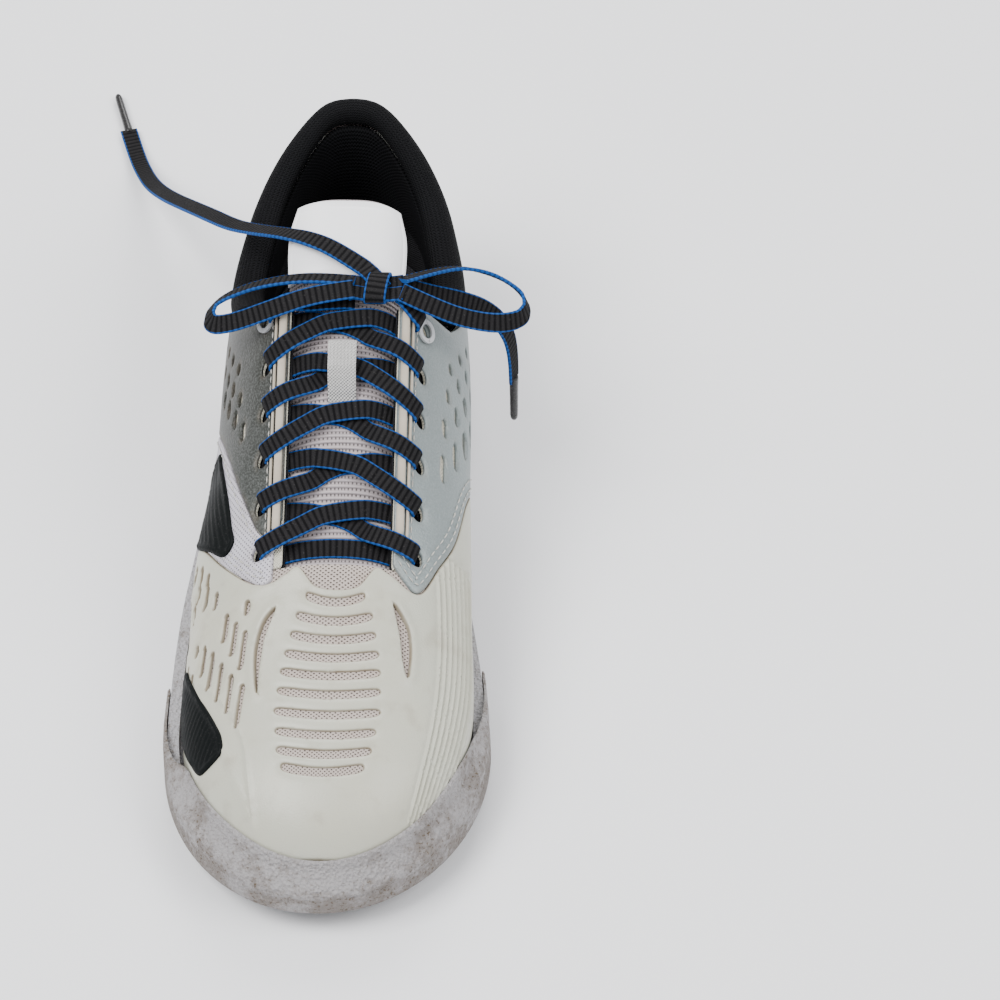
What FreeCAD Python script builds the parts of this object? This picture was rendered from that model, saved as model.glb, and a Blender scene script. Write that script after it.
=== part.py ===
import FreeCAD, Part
import math
import os
from FreeCAD import Vector

# Right court shoe, millimetres. The toe points to -Y, the big-toe (medial) side to +X, the
# ground is z = 0. Every layer of the upper follows one foot-shaped surface, the last, and
# "out" is a layer's distance outside that surface.

# The last: half widths, swell of the sides, edge height and instep height along the foot.
TOE_Y = -143.0
HEEL_Y = 141.0
TOE_ROUND = 62.0
TOE_DROP = 34.0
HEEL_ROUND = 42.0
HALF_LATERAL = [(-150, 44.5), (-85, 44.5), (-60, 44.5), (-30, 43), (0, 39.5), (40, 36),
                (80, 33.5), (115, 31.5), (150, 31)]
HALF_MEDIAL = [(-150, 45.5), (-85, 45.5), (-60, 43.5), (-30, 38.5), (0, 34.5), (40, 33.5),
               (80, 33), (115, 31.5), (150, 31)]
SWELL_LATERAL = [(-150, .03), (-60, .06), (-30, .10), (0, .08), (40, .13), (80, .16), (115, .09),
                 (150, .03)]
SWELL_MEDIAL = [(-150, .03), (-60, .07), (-30, .16), (0, .24), (40, .25), (80, .2), (115, .10),
                (150, .03)]
FEATHER = [(-150, 21), (-120, 18), (-85, 16.5), (-40, 17.5), (10, 21), (60, 24), (100, 25), (150, 25)]
INSTEP = [(-150, 22), (-125, 26), (-100, 31), (-70, 38), (-40, 49), (-10, 66), (20, 80), (50, 90),
          (90, 94), (150, 94)]
SQUARENESS = [(-150, 2.2), (-60, 2.3), (0, 2.6), (60, 3.6), (150, 4.2)]
RIDGE_X = [(-150, 2), (-60, 4), (0, 4.5), (60, 2), (150, 0)]
NARROWING = [(-150, 0), (-30, 0), (40, .10), (90, .22), (150, .30)]
BACK_CURVE = [(0, 0), (34, 0.5), (55, 4), (80, 2), (105, -2), (140, -5)]

# Layers of the upper, from the foot outwards.
LINING = (0.0, 0.8)
STIFFENER = (0.9, 1.7)
MESH = (1.8, 2.6)
OVERLAY = (2.7, 3.8)
FILM = (4.0, 4.5)
PIPING = (4.1, 4.9)

# Sole unit.
OUTSOLE = 4.0
GROOVE_DEPTH = 2.0
GROOVE_WIDTH = 2.4
GROOVE_PITCH = 9.0
SOLE_OUT = 9.0
TREAD_OUT = 6.5
CUP_OUT = 5.0
TOE_SPRING = 8.0
SPRING_FROM = -60.0
HEEL_SPRING = 10.0
BOARD = 1.2
SHANK = (36.0, 90.0, 2.0)
SHANK_FROM = (-17.0, -32.0)
SHANK_FIT = 0.2
SOCKLINER = 3.5
COVER = 0.6
GAP = 0.1
GUARD_THICKNESS = 1.6
BALL_Y = TOE_Y + TOE_ROUND - 4.0
GUARD_TOP = [(-30, 20.5), (0, 25), (25, 31), (60, 31), (90, 29.5), (120, 31), (150, 28), (165, 23),
             (200, 20.5)]

# Throat, eyelets and lace.
THROAT_X = 3.5
THROAT_HALF = 19.3
EYELET_HALF = 27.0
EYELET_Y = -42.0
EYELET_PITCH = 14.6
EYELETS = 6
EYELET_HOLE = 5.2
LACE_THICK = 1.3
LACE_WIDTH = 6.2
LACE_CORE = 3.4
KNOT_OFFSET = 11.0
KNOT_HALF = 7.0
KNOT_DEEP = 12.0
KNOT_HIGH = 8.0
LEAD_GAP = 1.8
PLUG_RADIUS = 1.7
PLUG_LENGTH = 4.4
QUARTER_BACK = 72.0
SEAM_GAP = 0.4

# Collar: height of the top line against the distance from the back seam.
TOP_LINE = [(0, 104), (16, 103), (32, 95), (50, 86), (72, 81), (90, 81), (104, 87), (116, 95)]
COLLAR_END = 113.0
ROLL = 9.0
ROLL_OUT = (-4.8, 5.0)
FOAM_OUT = (-4.4, -0.2)
COLLAR_LINING_OUT = (-5.4, -4.5)
COLLAR_LOW = 50.0

# Tongue.
TONGUE_ROOT = -46.0
TONGUE_STRAIGHT = 34.0
TONGUE_TOP = 71.0
TONGUE_SLOPE = 0.42
TONGUE_FACE = (-3.4, -2.4)
TONGUE_FOAM = (-7.5, -3.5)
TONGUE_LINING = (-8.4, -7.6)
LABEL_FROM = 44.0
TRIM_OUT = (TONGUE_FACE[1] + GAP, TONGUE_FACE[1] + GAP + 0.9)
KEEPER_FROM = 2.6
KEEPER_TO = 21.2
KEEPER_HALF = 4.8
KEEPER_LIFT = 9.0


def along(stations, at):
    """Smooth value at one place between hand-set stations."""
    last = len(stations) - 1
    at = min(max(at, stations[0][0]), stations[last][0])
    k = 0
    while k < last - 1 and at > stations[k + 1][0]:
        k += 1

    def slope(i):
        before = stations[max(i - 1, 0)]
        after = stations[min(i + 1, last)]
        return (after[1] - before[1]) / (after[0] - before[0])

    span = stations[k + 1][0] - stations[k][0]
    t = (at - stations[k][0]) / span
    return ((1 + 2 * t) * (1 - t) ** 2 * stations[k][1] + t * (1 - t) ** 2 * span * slope(k)
            + t * t * (3 - 2 * t) * stations[k + 1][1] + t * t * (t - 1) * span * slope(k + 1))


def ease(low, high, at):
    t = min(max((at - low) / (high - low), 0.0), 1.0)
    return t * t * (3 - 2 * t)


def mix(a, b, t):
    return a + (b - a) * t


def rounded(q, power):
    return max(0.0, 1 - min(max(q, 0.0), 1.0) ** power) ** (1 / power)


def half_width(y, out, side):
    stations = HALF_MEDIAL if side > 0 else HALF_LATERAL
    toe = rounded((TOE_Y + TOE_ROUND - y) / (TOE_ROUND + out), 2.05)
    heel = rounded((y - HEEL_Y + HEEL_ROUND) / (HEEL_ROUND + out), 2.2)
    return (along(stations, y) + out) * toe * heel


def crown(y, out):
    return (along(INSTEP, y) + out) * rounded((TOE_Y + TOE_DROP - y) / (TOE_DROP + out), 2.2)


def swell(y, rise, side):
    stations = SWELL_MEDIAL if side > 0 else SWELL_LATERAL
    bulge = ease(.06, .45, rise) - ease(.45, 1, rise)
    return 1 + along(stations, y) * bulge - along(NARROWING, y) * rise ** 1.3


def lean_back(y, z):
    return y + ease(60, HEEL_Y, y) * along(BACK_CURVE, z)


def last_point(y, turn, out):
    """Point of a layer: turn 0 at the medial edge, 90 on the ridge, 180 at the lateral edge."""
    angle = math.radians(turn)
    c = math.cos(angle)
    s = max(math.sin(angle), 0.0)
    power = along(SQUARENESS, y)
    rise = s ** (2 / power)
    side = 1 if c >= 0 else -1
    x = side * half_width(y, out, side) * swell(y, rise, side) * abs(c) ** (2 / power)
    z = along(FEATHER, y) + crown(y, out) * rise
    return (x + along(RIDGE_X, y) * rise, lean_back(y, z), z)


def heel_point(s, z, out):
    """Point of a layer round the heel: s along the wall from the back seam, medial side positive."""
    quarter = 1.4 * HEEL_ROUND
    side = 1 if s >= 0 else -1
    if abs(s) < quarter:
        angle = abs(s) / quarter * math.pi / 2
        y = HEEL_Y - HEEL_ROUND + (HEEL_ROUND + out) * math.cos(angle) ** (2 / 2.2)
    else:
        y = HEEL_Y - HEEL_ROUND - (abs(s) - quarter)
    power = along(SQUARENESS, y)
    rise = min(max((z - along(FEATHER, y)) / crown(y, out), 0.0), 1.0)
    x = side * half_width(y, out, side) * swell(y, rise, side) * (1 - rise ** power) ** (1 / power)
    return (x + along(RIDGE_X, y) * rise, lean_back(y, z), z)


def throat_turn(y, offset, out):
    """The turn at which a layer crosses a given distance from the throat's centre line."""
    low = 15.0
    high = 165.0
    for _ in range(36):
        middle = (low + high) / 2
        if last_point(y, middle, out)[0] > THROAT_X + offset:
            low = middle
        else:
            high = middle
    return low


def throat_point(offset, y, out):
    return last_point(y, throat_turn(y, offset, out), out)


def sheet(point, across, up):
    rows = []
    for i in range(across + 1):
        rows.append([Vector(*point(i / across, j / up)) for j in range(up + 1)])
    surface = Part.BSplineSurface()
    surface.interpolate(rows)
    return surface.toShape()


def between(inner, outer, across, up):
    """Closed solid between two sheets with the same parameters."""
    low = sheet(inner, across, up)
    high = sheet(outer, across, up)
    faces = [low, high]
    for a, b in zip(low.Edges, high.Edges):
        faces += Part.makeLoft([Part.Wire(a), Part.Wire(b)], False, True).Faces
    shell = Part.Shell(faces)
    shell.sewShape()
    solid = Part.Solid(shell)
    if solid.Volume < 0:
        solid.reverse()
    return solid


def panel(place, layer, across, up):
    """Panel of the upper: place(u, v, out) gives its points, layer its two distances out."""
    return between(lambda u, v: place(u, v, layer[0]), lambda u, v: place(u, v, layer[1]), across, up)


def toe_edge(out):
    return TOE_Y - out + 2.0


def from_toe(u):
    return 1 - math.cos(u * math.pi / 2)


# Upper, front: seams between the vamp cage and the quarters, as (turn, y).
MEDIAL_SEAM = [(0, 9), (14, 1), (25, -10), (35, -29), (45, -41), (57, -53.6), (64, -51), (72, -44)]
LATERAL_SEAM = [(108, -44), (116, -53), (125, -50), (138, -41), (152, -29), (166, -20), (180, -14)]
THROAT_FOOT = [(72, -50), (77, -49), (84, -56), (96, -56), (103, -49), (108, -51)]
CAGE_BACK = ([(turn, y - SEAM_GAP) for turn, y in MEDIAL_SEAM[:-2]] + THROAT_FOOT
             + [(turn, y - SEAM_GAP) for turn, y in LATERAL_SEAM[1:]])
BAND_TOP = [(108, -32), (119, -37), (130, -24), (145, -4), (158, 12), (180, 35)]
THROAT_TOP = 34.0
MESH_BACK = -48.0
SLOT_Y = [-61, -67.5, -74, -80.5, -87, -94, -101.5, -109, -116, -122]
SLOT_HALF = [10, 13, 14.5, 16, 17, 17.5, 18, 17, 16, 14]
SLOT_WIDTH = 2.4
SLOT_BOW = 2.5


def top_line(s):
    return along(TOP_LINE, abs(s))


def under_roll(s):
    return top_line(s) - ROLL - 0.5


def seam_distance(y):
    """Distance from the back seam of a place on the side wall."""
    return 1.4 * HEEL_ROUND + HEEL_Y - HEEL_ROUND - y


def height_turn(y, z, out):
    rise = min(max((z - along(FEATHER, y)) / crown(y, out), 0.0), 1.0)
    return math.degrees(math.asin(rise ** (along(SQUARENESS, y) / 2)))


def quarter_top(y, side):
    """Top edge of a quarter: the throat's edge, then down to the underside of the collar roll."""
    edge = throat_turn(min(y, THROAT_TOP), side * THROAT_HALF, OVERLAY[1])
    free = edge if side > 0 else 180 - edge
    roll_front = seam_distance(COLLAR_END) - 1.0
    under = height_turn(max(y, roll_front), under_roll(seam_distance(max(y, roll_front))), OVERLAY[1])
    return mix(free, under, ease(THROAT_TOP, roll_front, y))


def front_layer(back):
    def place(u, v, out):
        turn = 90 * (1 - math.cos(v * math.pi))
        return last_point(mix(toe_edge(out), back(turn), from_toe(u)), turn, out)
    return place


def side_layer(side, seam, back_y):
    """Quarter panel of one side, from its front seam to back_y, up to the throat and the collar."""
    throat_front = seam(72)
    fronts = {}

    def front(share):
        if share not in fronts:
            turn = quarter_top(throat_front, side) * share
            for _ in range(4):
                turn = quarter_top(seam(turn), side) * share
            fronts[share] = seam(turn)
        return fronts[share]

    def place(u, v, out):
        share = v ** 1.5
        y = mix(front(share), back_y, u)
        turn = quarter_top(y, side) * share
        return last_point(y, turn if side > 0 else 180 - turn, out)
    return place


def rear_layer(low, high, end):
    def place(u, v, out):
        s = mix(-end, end, u)
        return heel_point(s, mix(low(s), high(s), v), out)
    return place


def throat_normal(offset, y, out):
    """Direction straight out of a layer over the instep."""
    along_foot = Vector(*throat_point(offset, y + 0.5, out)) - Vector(*throat_point(offset, y - 0.5, out))
    across = Vector(*throat_point(offset + 0.5, y, out)) - Vector(*throat_point(offset - 0.5, y, out))
    return across.cross(along_foot).normalize()


def eyelet_line(side, k):
    """Point 1 mm inside the last under an eyelet and the direction straight out of the upper."""
    y = EYELET_Y + EYELET_PITCH * k
    way = throat_normal(side * EYELET_HALF, y, OVERLAY[1])
    return Vector(*throat_point(side * EYELET_HALF, y, OVERLAY[1])) - way * (OVERLAY[1] + 1), way


def eyelet_cutter(side):
    holes = []
    for k in range(EYELETS):
        start, way = eyelet_line(side, k)
        holes.append(Part.makeCylinder(EYELET_HOLE / 2, 8, start.sub(way * 1.0), way))
    return Part.makeCompound(holes)


def slot_cutter():
    """Curved slots over the toes, each a bowed strip cut straight down."""
    strips = []
    for y, half in zip(SLOT_Y, SLOT_HALF):
        front = []
        back = []
        for i in range(5):
            t = mix(-1, 1, i / 4)
            x = THROAT_X - 0.6 + half * t
            bow = SLOT_BOW * t * t
            front.append(Vector(x, y + bow - SLOT_WIDTH / 2, 30))
            back.append(Vector(x, y + bow + SLOT_WIDTH / 2, 30))
        low = Part.BSplineCurve()
        low.interpolate(front)
        high = Part.BSplineCurve()
        high.interpolate(back)
        ends = [Part.makeLine(front[0], back[0]), Part.makeLine(front[-1], back[-1])]
        wire = Part.Wire(Part.__sortEdges__([low.toShape(), high.toShape()] + ends))
        strips.append(Part.Face(wire).extrude(Vector(0, 0, 60)))
    return Part.makeCompound(strips)


def make_upper():
    vamp = front_layer(lambda turn: MESH_BACK)
    cage = front_layer(lambda turn: along(CAGE_BACK, turn))
    pieces = {}
    pieces["vamp_lining"] = panel(vamp, LINING, 24, 24)
    pieces["vamp_mesh"] = panel(vamp, MESH, 24, 24)
    pieces["toe_puff"] = panel(front_layer(lambda turn: -112.0), STIFFENER, 12, 24)
    pieces["vamp_cage"] = panel(cage, OVERLAY, 32, 48).cut(slot_cutter())

    front_y = MESH_BACK + SEAM_GAP
    linings = []
    backings = []
    for side in (1, -1):
        holes = eyelet_cutter(side)
        wall = side_layer(side, lambda turn: front_y, QUARTER_BACK)
        linings.append(panel(wall, LINING, 20, 14).cut(holes))
        backings.append(panel(wall, MESH, 20, 14).cut(holes))
    pieces["quarter_lining"] = Part.makeCompound(linings)
    pieces["quarter_backing"] = Part.makeCompound(backings)

    medial = side_layer(1, lambda turn: along(MEDIAL_SEAM, turn), QUARTER_BACK)
    pieces["quarter_medial"] = panel(medial, OVERLAY, 28, 24).cut(eyelet_cutter(1))
    lateral = side_layer(-1, lambda turn: along(BAND_TOP, 180 - turn) + SEAM_GAP, QUARTER_BACK)
    pieces["quarter_lateral"] = panel(lateral, OVERLAY, 28, 24).cut(eyelet_cutter(-1))

    def band(u, v, out):
        turn = mix(180, 112, v ** 1.5)
        y = mix(along(LATERAL_SEAM, turn), along(BAND_TOP, turn), u)
        return last_point(y, turn, out)
    pieces["lateral_band"] = panel(band, OVERLAY, 8, 24).cut(eyelet_cutter(-1))

    def midfoot(u, v, out):
        y = mix(-38, 4, u)
        low = along([(-38, 138), (-20, 164), (4, 162)], y)
        high = along([(-38, 132), (-20, 139), (4, 154)], y)
        return last_point(y, mix(low, high, v), out)
    pieces["midfoot_window"] = panel(midfoot, FILM, 8, 6)

    def forefoot(u, v, out):
        y = mix(-114, -70, u)
        low = along([(-114, 154), (-105, 162), (-90, 168), (-70, 165)], y)
        high = along([(-114, 142), (-108, 135), (-92, 142), (-70, 160)], y)
        return last_point(y, mix(low, high, v), out)
    pieces["forefoot_window"] = panel(forefoot, FILM, 10, 6)

    for name, side in (("throat_piping_medial", 1), ("throat_piping_lateral", -1)):
        def piping(u, v, out, side=side):
            y = mix(EYELET_Y + 4, 33, u)
            return throat_point(side * mix(THROAT_HALF + 0.3, THROAT_HALF + 3.0, v), y, out)
        pieces[name] = panel(piping, PIPING, 20, 2)
    return pieces


def make_rear():
    end = seam_distance(QUARTER_BACK + 1.5)
    edge = lambda s: along(FEATHER, 100) + 0.1
    pieces = {}
    pieces["heel_lining"] = panel(rear_layer(edge, lambda s: COLLAR_LOW - 0.5, end), LINING, 40, 6)
    counter_top = lambda s: 66 - 16 * ease(40, end, abs(s))
    pieces["heel_counter"] = panel(rear_layer(edge, counter_top, end - 6), STIFFENER, 40, 6)
    pieces["heel_mesh"] = panel(rear_layer(edge, under_roll, end), MESH, 40, 10)
    wrap_top = lambda s: under_roll(s) - mix(3, 14, ease(0, 45, abs(s)))
    pieces["heel_wrap"] = panel(rear_layer(edge, wrap_top, end), OVERLAY, 40, 10)
    low = lambda s: COLLAR_LOW
    pieces["collar_foam"] = panel(rear_layer(low, under_roll, COLLAR_END), FOAM_OUT, 44, 6)
    pieces["collar_lining"] = panel(rear_layer(low, under_roll, COLLAR_END), COLLAR_LINING_OUT, 44, 6)
    pieces["collar_roll"] = panel(rear_layer(lambda s: top_line(s) - ROLL, top_line, COLLAR_END),
                                  ROLL_OUT, 44, 4)
    return pieces


def tongue_point(y, turn, out):
    if y <= TONGUE_STRAIGHT:
        return last_point(y, turn, out)
    x, y0, z = last_point(TONGUE_STRAIGHT, turn, out)
    past = y - TONGUE_STRAIGHT
    return (x, y0 + past, z + TONGUE_SLOPE * past)


def tongue_layer(low_y, high_y, spread):
    def place(u, v, out):
        y = mix(low_y, high_y, u)
        half = along(spread, y)
        return tongue_point(y, 88 + mix(-half, half, v), out)
    return place


def make_tongue():
    spread = [(TONGUE_ROOT, 34), (10, 36), (34, 34), (44, 31), (TONGUE_TOP - 9, 32), (TONGUE_TOP, 25)]
    body = tongue_layer(TONGUE_ROOT, TONGUE_TOP, spread)
    pieces = {}
    pieces["tongue_face"] = panel(body, TONGUE_FACE, 28, 12)
    pieces["tongue_foam"] = panel(body, TONGUE_FOAM, 28, 12)
    pieces["tongue_lining"] = panel(body, TONGUE_LINING, 28, 12)
    label_spread = [(LABEL_FROM, 30), (TONGUE_TOP - 10, 31), (TONGUE_TOP - 1, 25)]
    label = tongue_layer(LABEL_FROM, TONGUE_TOP - 1, label_spread)
    pieces["tongue_label"] = panel(label, TRIM_OUT, 10, 10)

    def keeper(u, v, out):
        y = mix(KEEPER_FROM, KEEPER_TO, u)
        lift = KEEPER_LIFT * ease(0, .3, u) * (1 - ease(.7, 1, u))
        return throat_point(mix(-KEEPER_HALF, KEEPER_HALF, v), y, out + lift)
    pieces["tongue_loop"] = panel(keeper, TRIM_OUT, 16, 4)
    return pieces


def plan_curve(out, z):
    """Closed outline of the foot's plan, at one distance out."""
    points = []
    steps = 20
    for i in range(steps):
        angle = math.pi / 2 * i / steps
        points.append((1, TOE_Y + TOE_ROUND - (TOE_ROUND + out) * math.cos(angle)))
    for i in range(8):
        points.append((1, mix(TOE_Y + TOE_ROUND, HEEL_Y - HEEL_ROUND, i / 8)))
    for i in range(12):
        angle = math.pi / 2 * i / 12
        points.append((1, HEEL_Y - HEEL_ROUND + (HEEL_ROUND + out) * math.sin(angle)))
    loop = [Vector(side * half_width(y, out, side), y, z) for side, y in points]
    loop.append(Vector(0, HEEL_Y + out, z))
    for side, y in reversed(points[1:]):
        loop.append(Vector(-half_width(y, out, -side), y, z))
    curve = Part.BSplineCurve()
    curve.interpolate(loop, PeriodicFlag=True)
    return Part.Wire(curve.toShape())


def profile(height, flat):
    """Edges of a height along the shoe: a curve, or a straight middle between two curves."""
    reach = 175.0
    spans = [(-reach, reach, 28)]
    if flat:
        spans = [(-reach, SPRING_FROM, 12), (HEEL_Y - HEEL_SPRING, reach, 6)]
    edges = []
    for start, end, steps in spans:
        curve = Part.BSplineCurve()
        curve.interpolate([Vector(-90, y, height(y))
                           for y in (mix(start, end, i / steps) for i in range(steps + 1))])
        edges.append(curve.toShape())
    if flat:
        front, back = spans[0][1], spans[1][0]
        edges.append(Part.makeLine(Vector(-90, front, height(front)), Vector(-90, back, height(back))))
    return edges


def slab(low, high, flat_low=False):
    """Solid across the whole shoe between two heights that vary along it."""
    reach = 175.0
    ends = [Part.makeLine(Vector(-90, y, low(y)), Vector(-90, y, high(y))) for y in (-reach, reach)]
    wire = Part.Wire(Part.__sortEdges__(profile(low, flat_low) + profile(high, False) + ends))
    return Part.Face(wire).extrude(Vector(180, 0, 0))


def tread(y):
    front = max(0.0, (SPRING_FROM - y) / (SPRING_FROM - TOE_Y + SOLE_OUT))
    back = max(0.0, y - HEEL_Y + HEEL_SPRING)
    return TOE_SPRING * front ** 2 + 0.008 * back ** 2


def footbed(y):
    return along(FEATHER, y) - BOARD - GAP


def cup_rim(y):
    return along([(-150, 18.5), (-110, 19), (-60, 21.5), (-20, 25), (20, 29), (70, 32.5), (150, 34)], y)


def sole_block():
    outlines = [plan_curve(TREAD_OUT, -1), plan_curve(SOLE_OUT, 13), plan_curve(SOLE_OUT - 0.5, 60)]
    return Part.makeLoft(outlines, True, True)


def prism(out, low, high):
    return Part.Face(plan_curve(out, low)).extrude(Vector(0, 0, high - low))


def groove_cutter():
    """Herringbone grooves, each a zigzag strip across the sole."""
    grooves = []
    y = -140.0
    while y < 145:
        front = []
        for i in range(9):
            front.append(Vector(mix(-72, 72, i / 8), y + (7 if i % 2 else 0), -3))
        back = [p.add(Vector(0, GROOVE_WIDTH, 0)) for p in front]
        wire = Part.makePolygon(front + back[::-1] + front[:1])
        depth = tread(y + 4) + GROOVE_DEPTH + 3
        grooves.append(Part.Face(wire).extrude(Vector(0, 0, depth)))
        y += GROOVE_PITCH
    return Part.makeCompound(grooves)


def sole_radius(angle, out):
    """Distance from the ball of the foot to the sole's outline, in one direction."""
    low = 20.0
    high = 90.0
    for _ in range(30):
        r = (low + high) / 2
        x = r * math.cos(angle)
        y = BALL_Y - r * math.sin(angle)
        if abs(x) < half_width(y, out, x):
            low = r
        else:
            high = r
    return low


def last_radius(angle, z, out):
    """The same distance to a layer of the upper at one height."""
    low = 5.0
    high = 90.0
    for _ in range(30):
        r = (low + high) / 2
        x = r * math.cos(angle)
        y = BALL_Y - r * math.sin(angle)
        height = crown(y, out)
        rise = max(0.0, z - along(FEATHER, y)) / max(height, 0.01)
        inside = False
        if rise < 1:
            power = along(SQUARENESS, y)
            reach = half_width(y, out, x) * swell(y, rise, x) * (1 - rise ** power) ** (1 / power)
            inside = abs(x - along(RIDGE_X, y) * rise) < reach
        if inside:
            low = r
        else:
            high = r
    return low



def guard_point(turn, height, wall):
    angle = math.radians(turn)
    y = BALL_Y - 60 * math.sin(angle)
    low = tread(y) + OUTSOLE + 0.5
    z = mix(low, along(GUARD_TOP, turn), height)
    rim = cup_rim(y) + 0.6
    inner = mix(sole_radius(angle, SOLE_OUT + 0.3), last_radius(angle, z, OVERLAY[1] + 0.4),
                ease(rim, rim + 8, z))
    r = inner + wall * mix(1, 0.6, height)
    return (r * math.cos(angle), BALL_Y - r * math.sin(angle), z)


def make_sole():
    block = sole_block()
    pieces = {}
    outsole = block.common(slab(tread, lambda y: tread(y) + OUTSOLE, True))
    pieces["outsole"] = outsole.cut(groove_cutter())
    foam = block.common(slab(lambda y: tread(y) + OUTSOLE + GAP, cup_rim))
    foam = foam.cut(prism(CUP_OUT, 0, 80).common(slab(footbed, lambda y: 90.0)))
    shank = Part.makeBox(*SHANK, Vector(*SHANK_FROM, OUTSOLE + GAP))
    shank = shank.makeFillet(8, [e for e in shank.Edges if abs(e.tangentAt(0).z) > .9])
    pocket = Part.makeBox(SHANK[0] + 2 * SHANK_FIT, SHANK[1] + 2 * SHANK_FIT, SHANK[2] + SHANK_FIT,
                          Vector(SHANK_FROM[0] - SHANK_FIT, SHANK_FROM[1] - SHANK_FIT, OUTSOLE))
    pieces["midsole"] = foam.cut(pocket)
    pieces["shank_plate"] = shank

    def guard(u, v, wall):
        return guard_point(mix(-28, 198, u), v, wall)
    pieces["toe_guard"] = panel(guard, (0.0, GUARD_THICKNESS), 48, 14)

    board = prism(2.5, 0, 80).common(slab(footbed, lambda y: along(FEATHER, y) - GAP))
    pieces["lasting_board"] = board
    bed = prism(-0.8, 0, 80)
    top = lambda y: along(FEATHER, y) + SOCKLINER
    pieces["sockliner"] = bed.common(slab(lambda y: along(FEATHER, y) + GAP, top))
    pieces["sockliner_cover"] = bed.common(slab(top, lambda y: top(y) + COVER))
    return pieces


# Lace strand from an eyelet over its own eyestay, across the tongue and under the other one:
# offset from the throat's centre, share of the eyelet pitch, distance out.
OVER_STRAND = [(-27, 0.0, 5.2), (-19.5, .14, 5.8), (-12, .42, 3.2), (-6, .62, 2.0), (0, .72, 1.4),
               (6, .78, 1.3), (9, .81, 1.2), (13, .86, 0.2), (19.5, .94, -1.3), (27, 1.0, -1.3)]
UNDER_STRAND = [(-27, 0.0, 5.2), (-19.5, .08, 5.8), (-12, .3, 1.9), (-9, .44, -0.5), (-5, .6, -1.2),
                (0, .72, -1.3), (6, .78, -1.3), (12, .86, -1.3), (19.5, .94, -1.3), (27, 1.0, -1.3)]


def ribbon(path, steps, width, thick):
    """Flat lace along path(t) on the throat: offset, y, out."""
    def frame(t):
        here = path(t)
        point = Vector(*throat_point(*here))
        ahead = Vector(*throat_point(*path(min(t + .01, 1.0))))
        behind = Vector(*throat_point(*path(max(t - .01, 0.0))))
        tangent = ahead.sub(behind).normalize()
        across = throat_normal(*here).cross(tangent).normalize()
        return point, across, tangent.cross(across).normalize()

    frames = [frame(i / steps) for i in range(steps + 1)]

    def face(side):
        def point(u, v):
            middle, across, normal = frames[int(round(u * steps))]
            p = middle + across * mix(-width / 2, width / 2, v) + normal * (side * thick / 2)
            return (p.x, p.y, p.z)
        return point
    return between(face(-1), face(1), steps, 2)


def strand(table, side, k):
    def path(t):
        offset = mix(table[0][0], table[-1][0], t)
        share = along([(a, b) for a, b, c in table], offset)
        out = along([(a, c) for a, b, c in table], offset)
        return (-side * offset, EYELET_Y + EYELET_PITCH * (k + share), out)
    return path


def make_lace_rows():
    solids = []
    for k in range(EYELETS - 1):
        on_top = 1 if k % 2 else -1
        solids.append(ribbon(strand(OVER_STRAND, on_top, k), 36, LACE_WIDTH, LACE_THICK))
        solids.append(ribbon(strand(UNDER_STRAND, -on_top, k), 36, LACE_WIDTH, LACE_THICK))

    def bar(t):
        offset = mix(-27, 27, t)
        return (offset, EYELET_Y + 1.2 * (1 - (offset / 27) ** 2), -1.3)
    solids.append(ribbon(bar, 16, LACE_WIDTH - 1, LACE_THICK))
    top_y = EYELET_Y + EYELET_PITCH * (EYELETS - 1)

    def lateral_lead(t):
        offset = mix(-27, KNOT_OFFSET - KNOT_HALF - LEAD_GAP, t)
        return (offset, top_y + 3 * ease(-27, 4, offset), along([(-27, 6.4), (-19.5, 6.0), (-11, 2.0),
                                                                 (3, 0.4)], offset))

    def medial_lead(t):
        offset = mix(27, KNOT_OFFSET + KNOT_HALF + LEAD_GAP, t)
        return (offset, top_y + 5 * ease(27, 16, offset), along([(17, 4.0), (19.5, 6.0), (27, 6.4)],
                                                                offset))
    solids.append(ribbon(lateral_lead, 20, LACE_WIDTH, LACE_THICK))
    solids.append(ribbon(medial_lead, 8, LACE_WIDTH, LACE_THICK))
    for side in (1, -1):
        for k in range(EYELETS):
            start, way = eyelet_line(side, k)
            solids.append(Part.makeCylinder(PLUG_RADIUS, PLUG_LENGTH, start.add(way * 0.6), way))
    return Part.makeCompound(solids)


def make_knot():
    x, y, z = throat_point(KNOT_OFFSET, EYELET_Y + EYELET_PITCH * (EYELETS - 1) + 5.5, 4.4)
    body = Part.makeBox(2 * KNOT_HALF, KNOT_DEEP, KNOT_HIGH,
                        Vector(x - KNOT_HALF, y - KNOT_DEEP / 2, z - KNOT_HIGH / 2))
    return body.makeFillet(3, body.Edges)


# Free laces: hand-set routes from the knot.
LOOP_LATERAL = [(6.8, 37.5, 114.5), (-6, 39.5, 114), (-21, 41, 110.5), (-34, 42, 104.5), (-43.5, 39.5, 99.5),
                (-44, 30.5, 98.5), (-35, 27.5, 103), (-21, 28.5, 109.5), (-6, 30.5, 115), (6.8, 33, 115)]
LOOP_MEDIAL = [(22.6, 38.4, 114), (31, 46, 110.5), (43, 55, 105), (56, 56.5, 99), (65, 50, 96),
               (65.5, 41, 95), (57, 34, 98), (44, 31.5, 103), (32, 32, 109), (22.6, 33.6, 113.4)]
END_LATERAL = [(10, 43.5, 114.5), (0, 49.5, 117.5), (-10, 55, 117.5), (-20, 62, 113), (-30, 72, 104.5),
               (-40, 85, 94), (-50, 103, 81.5), (-61, 127, 63), (-73, 156, 40), (-83, 184, 19),
               (-90, 207, 5.5), (-94.5, 221, 2), (-98.5, 234, 2)]
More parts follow.
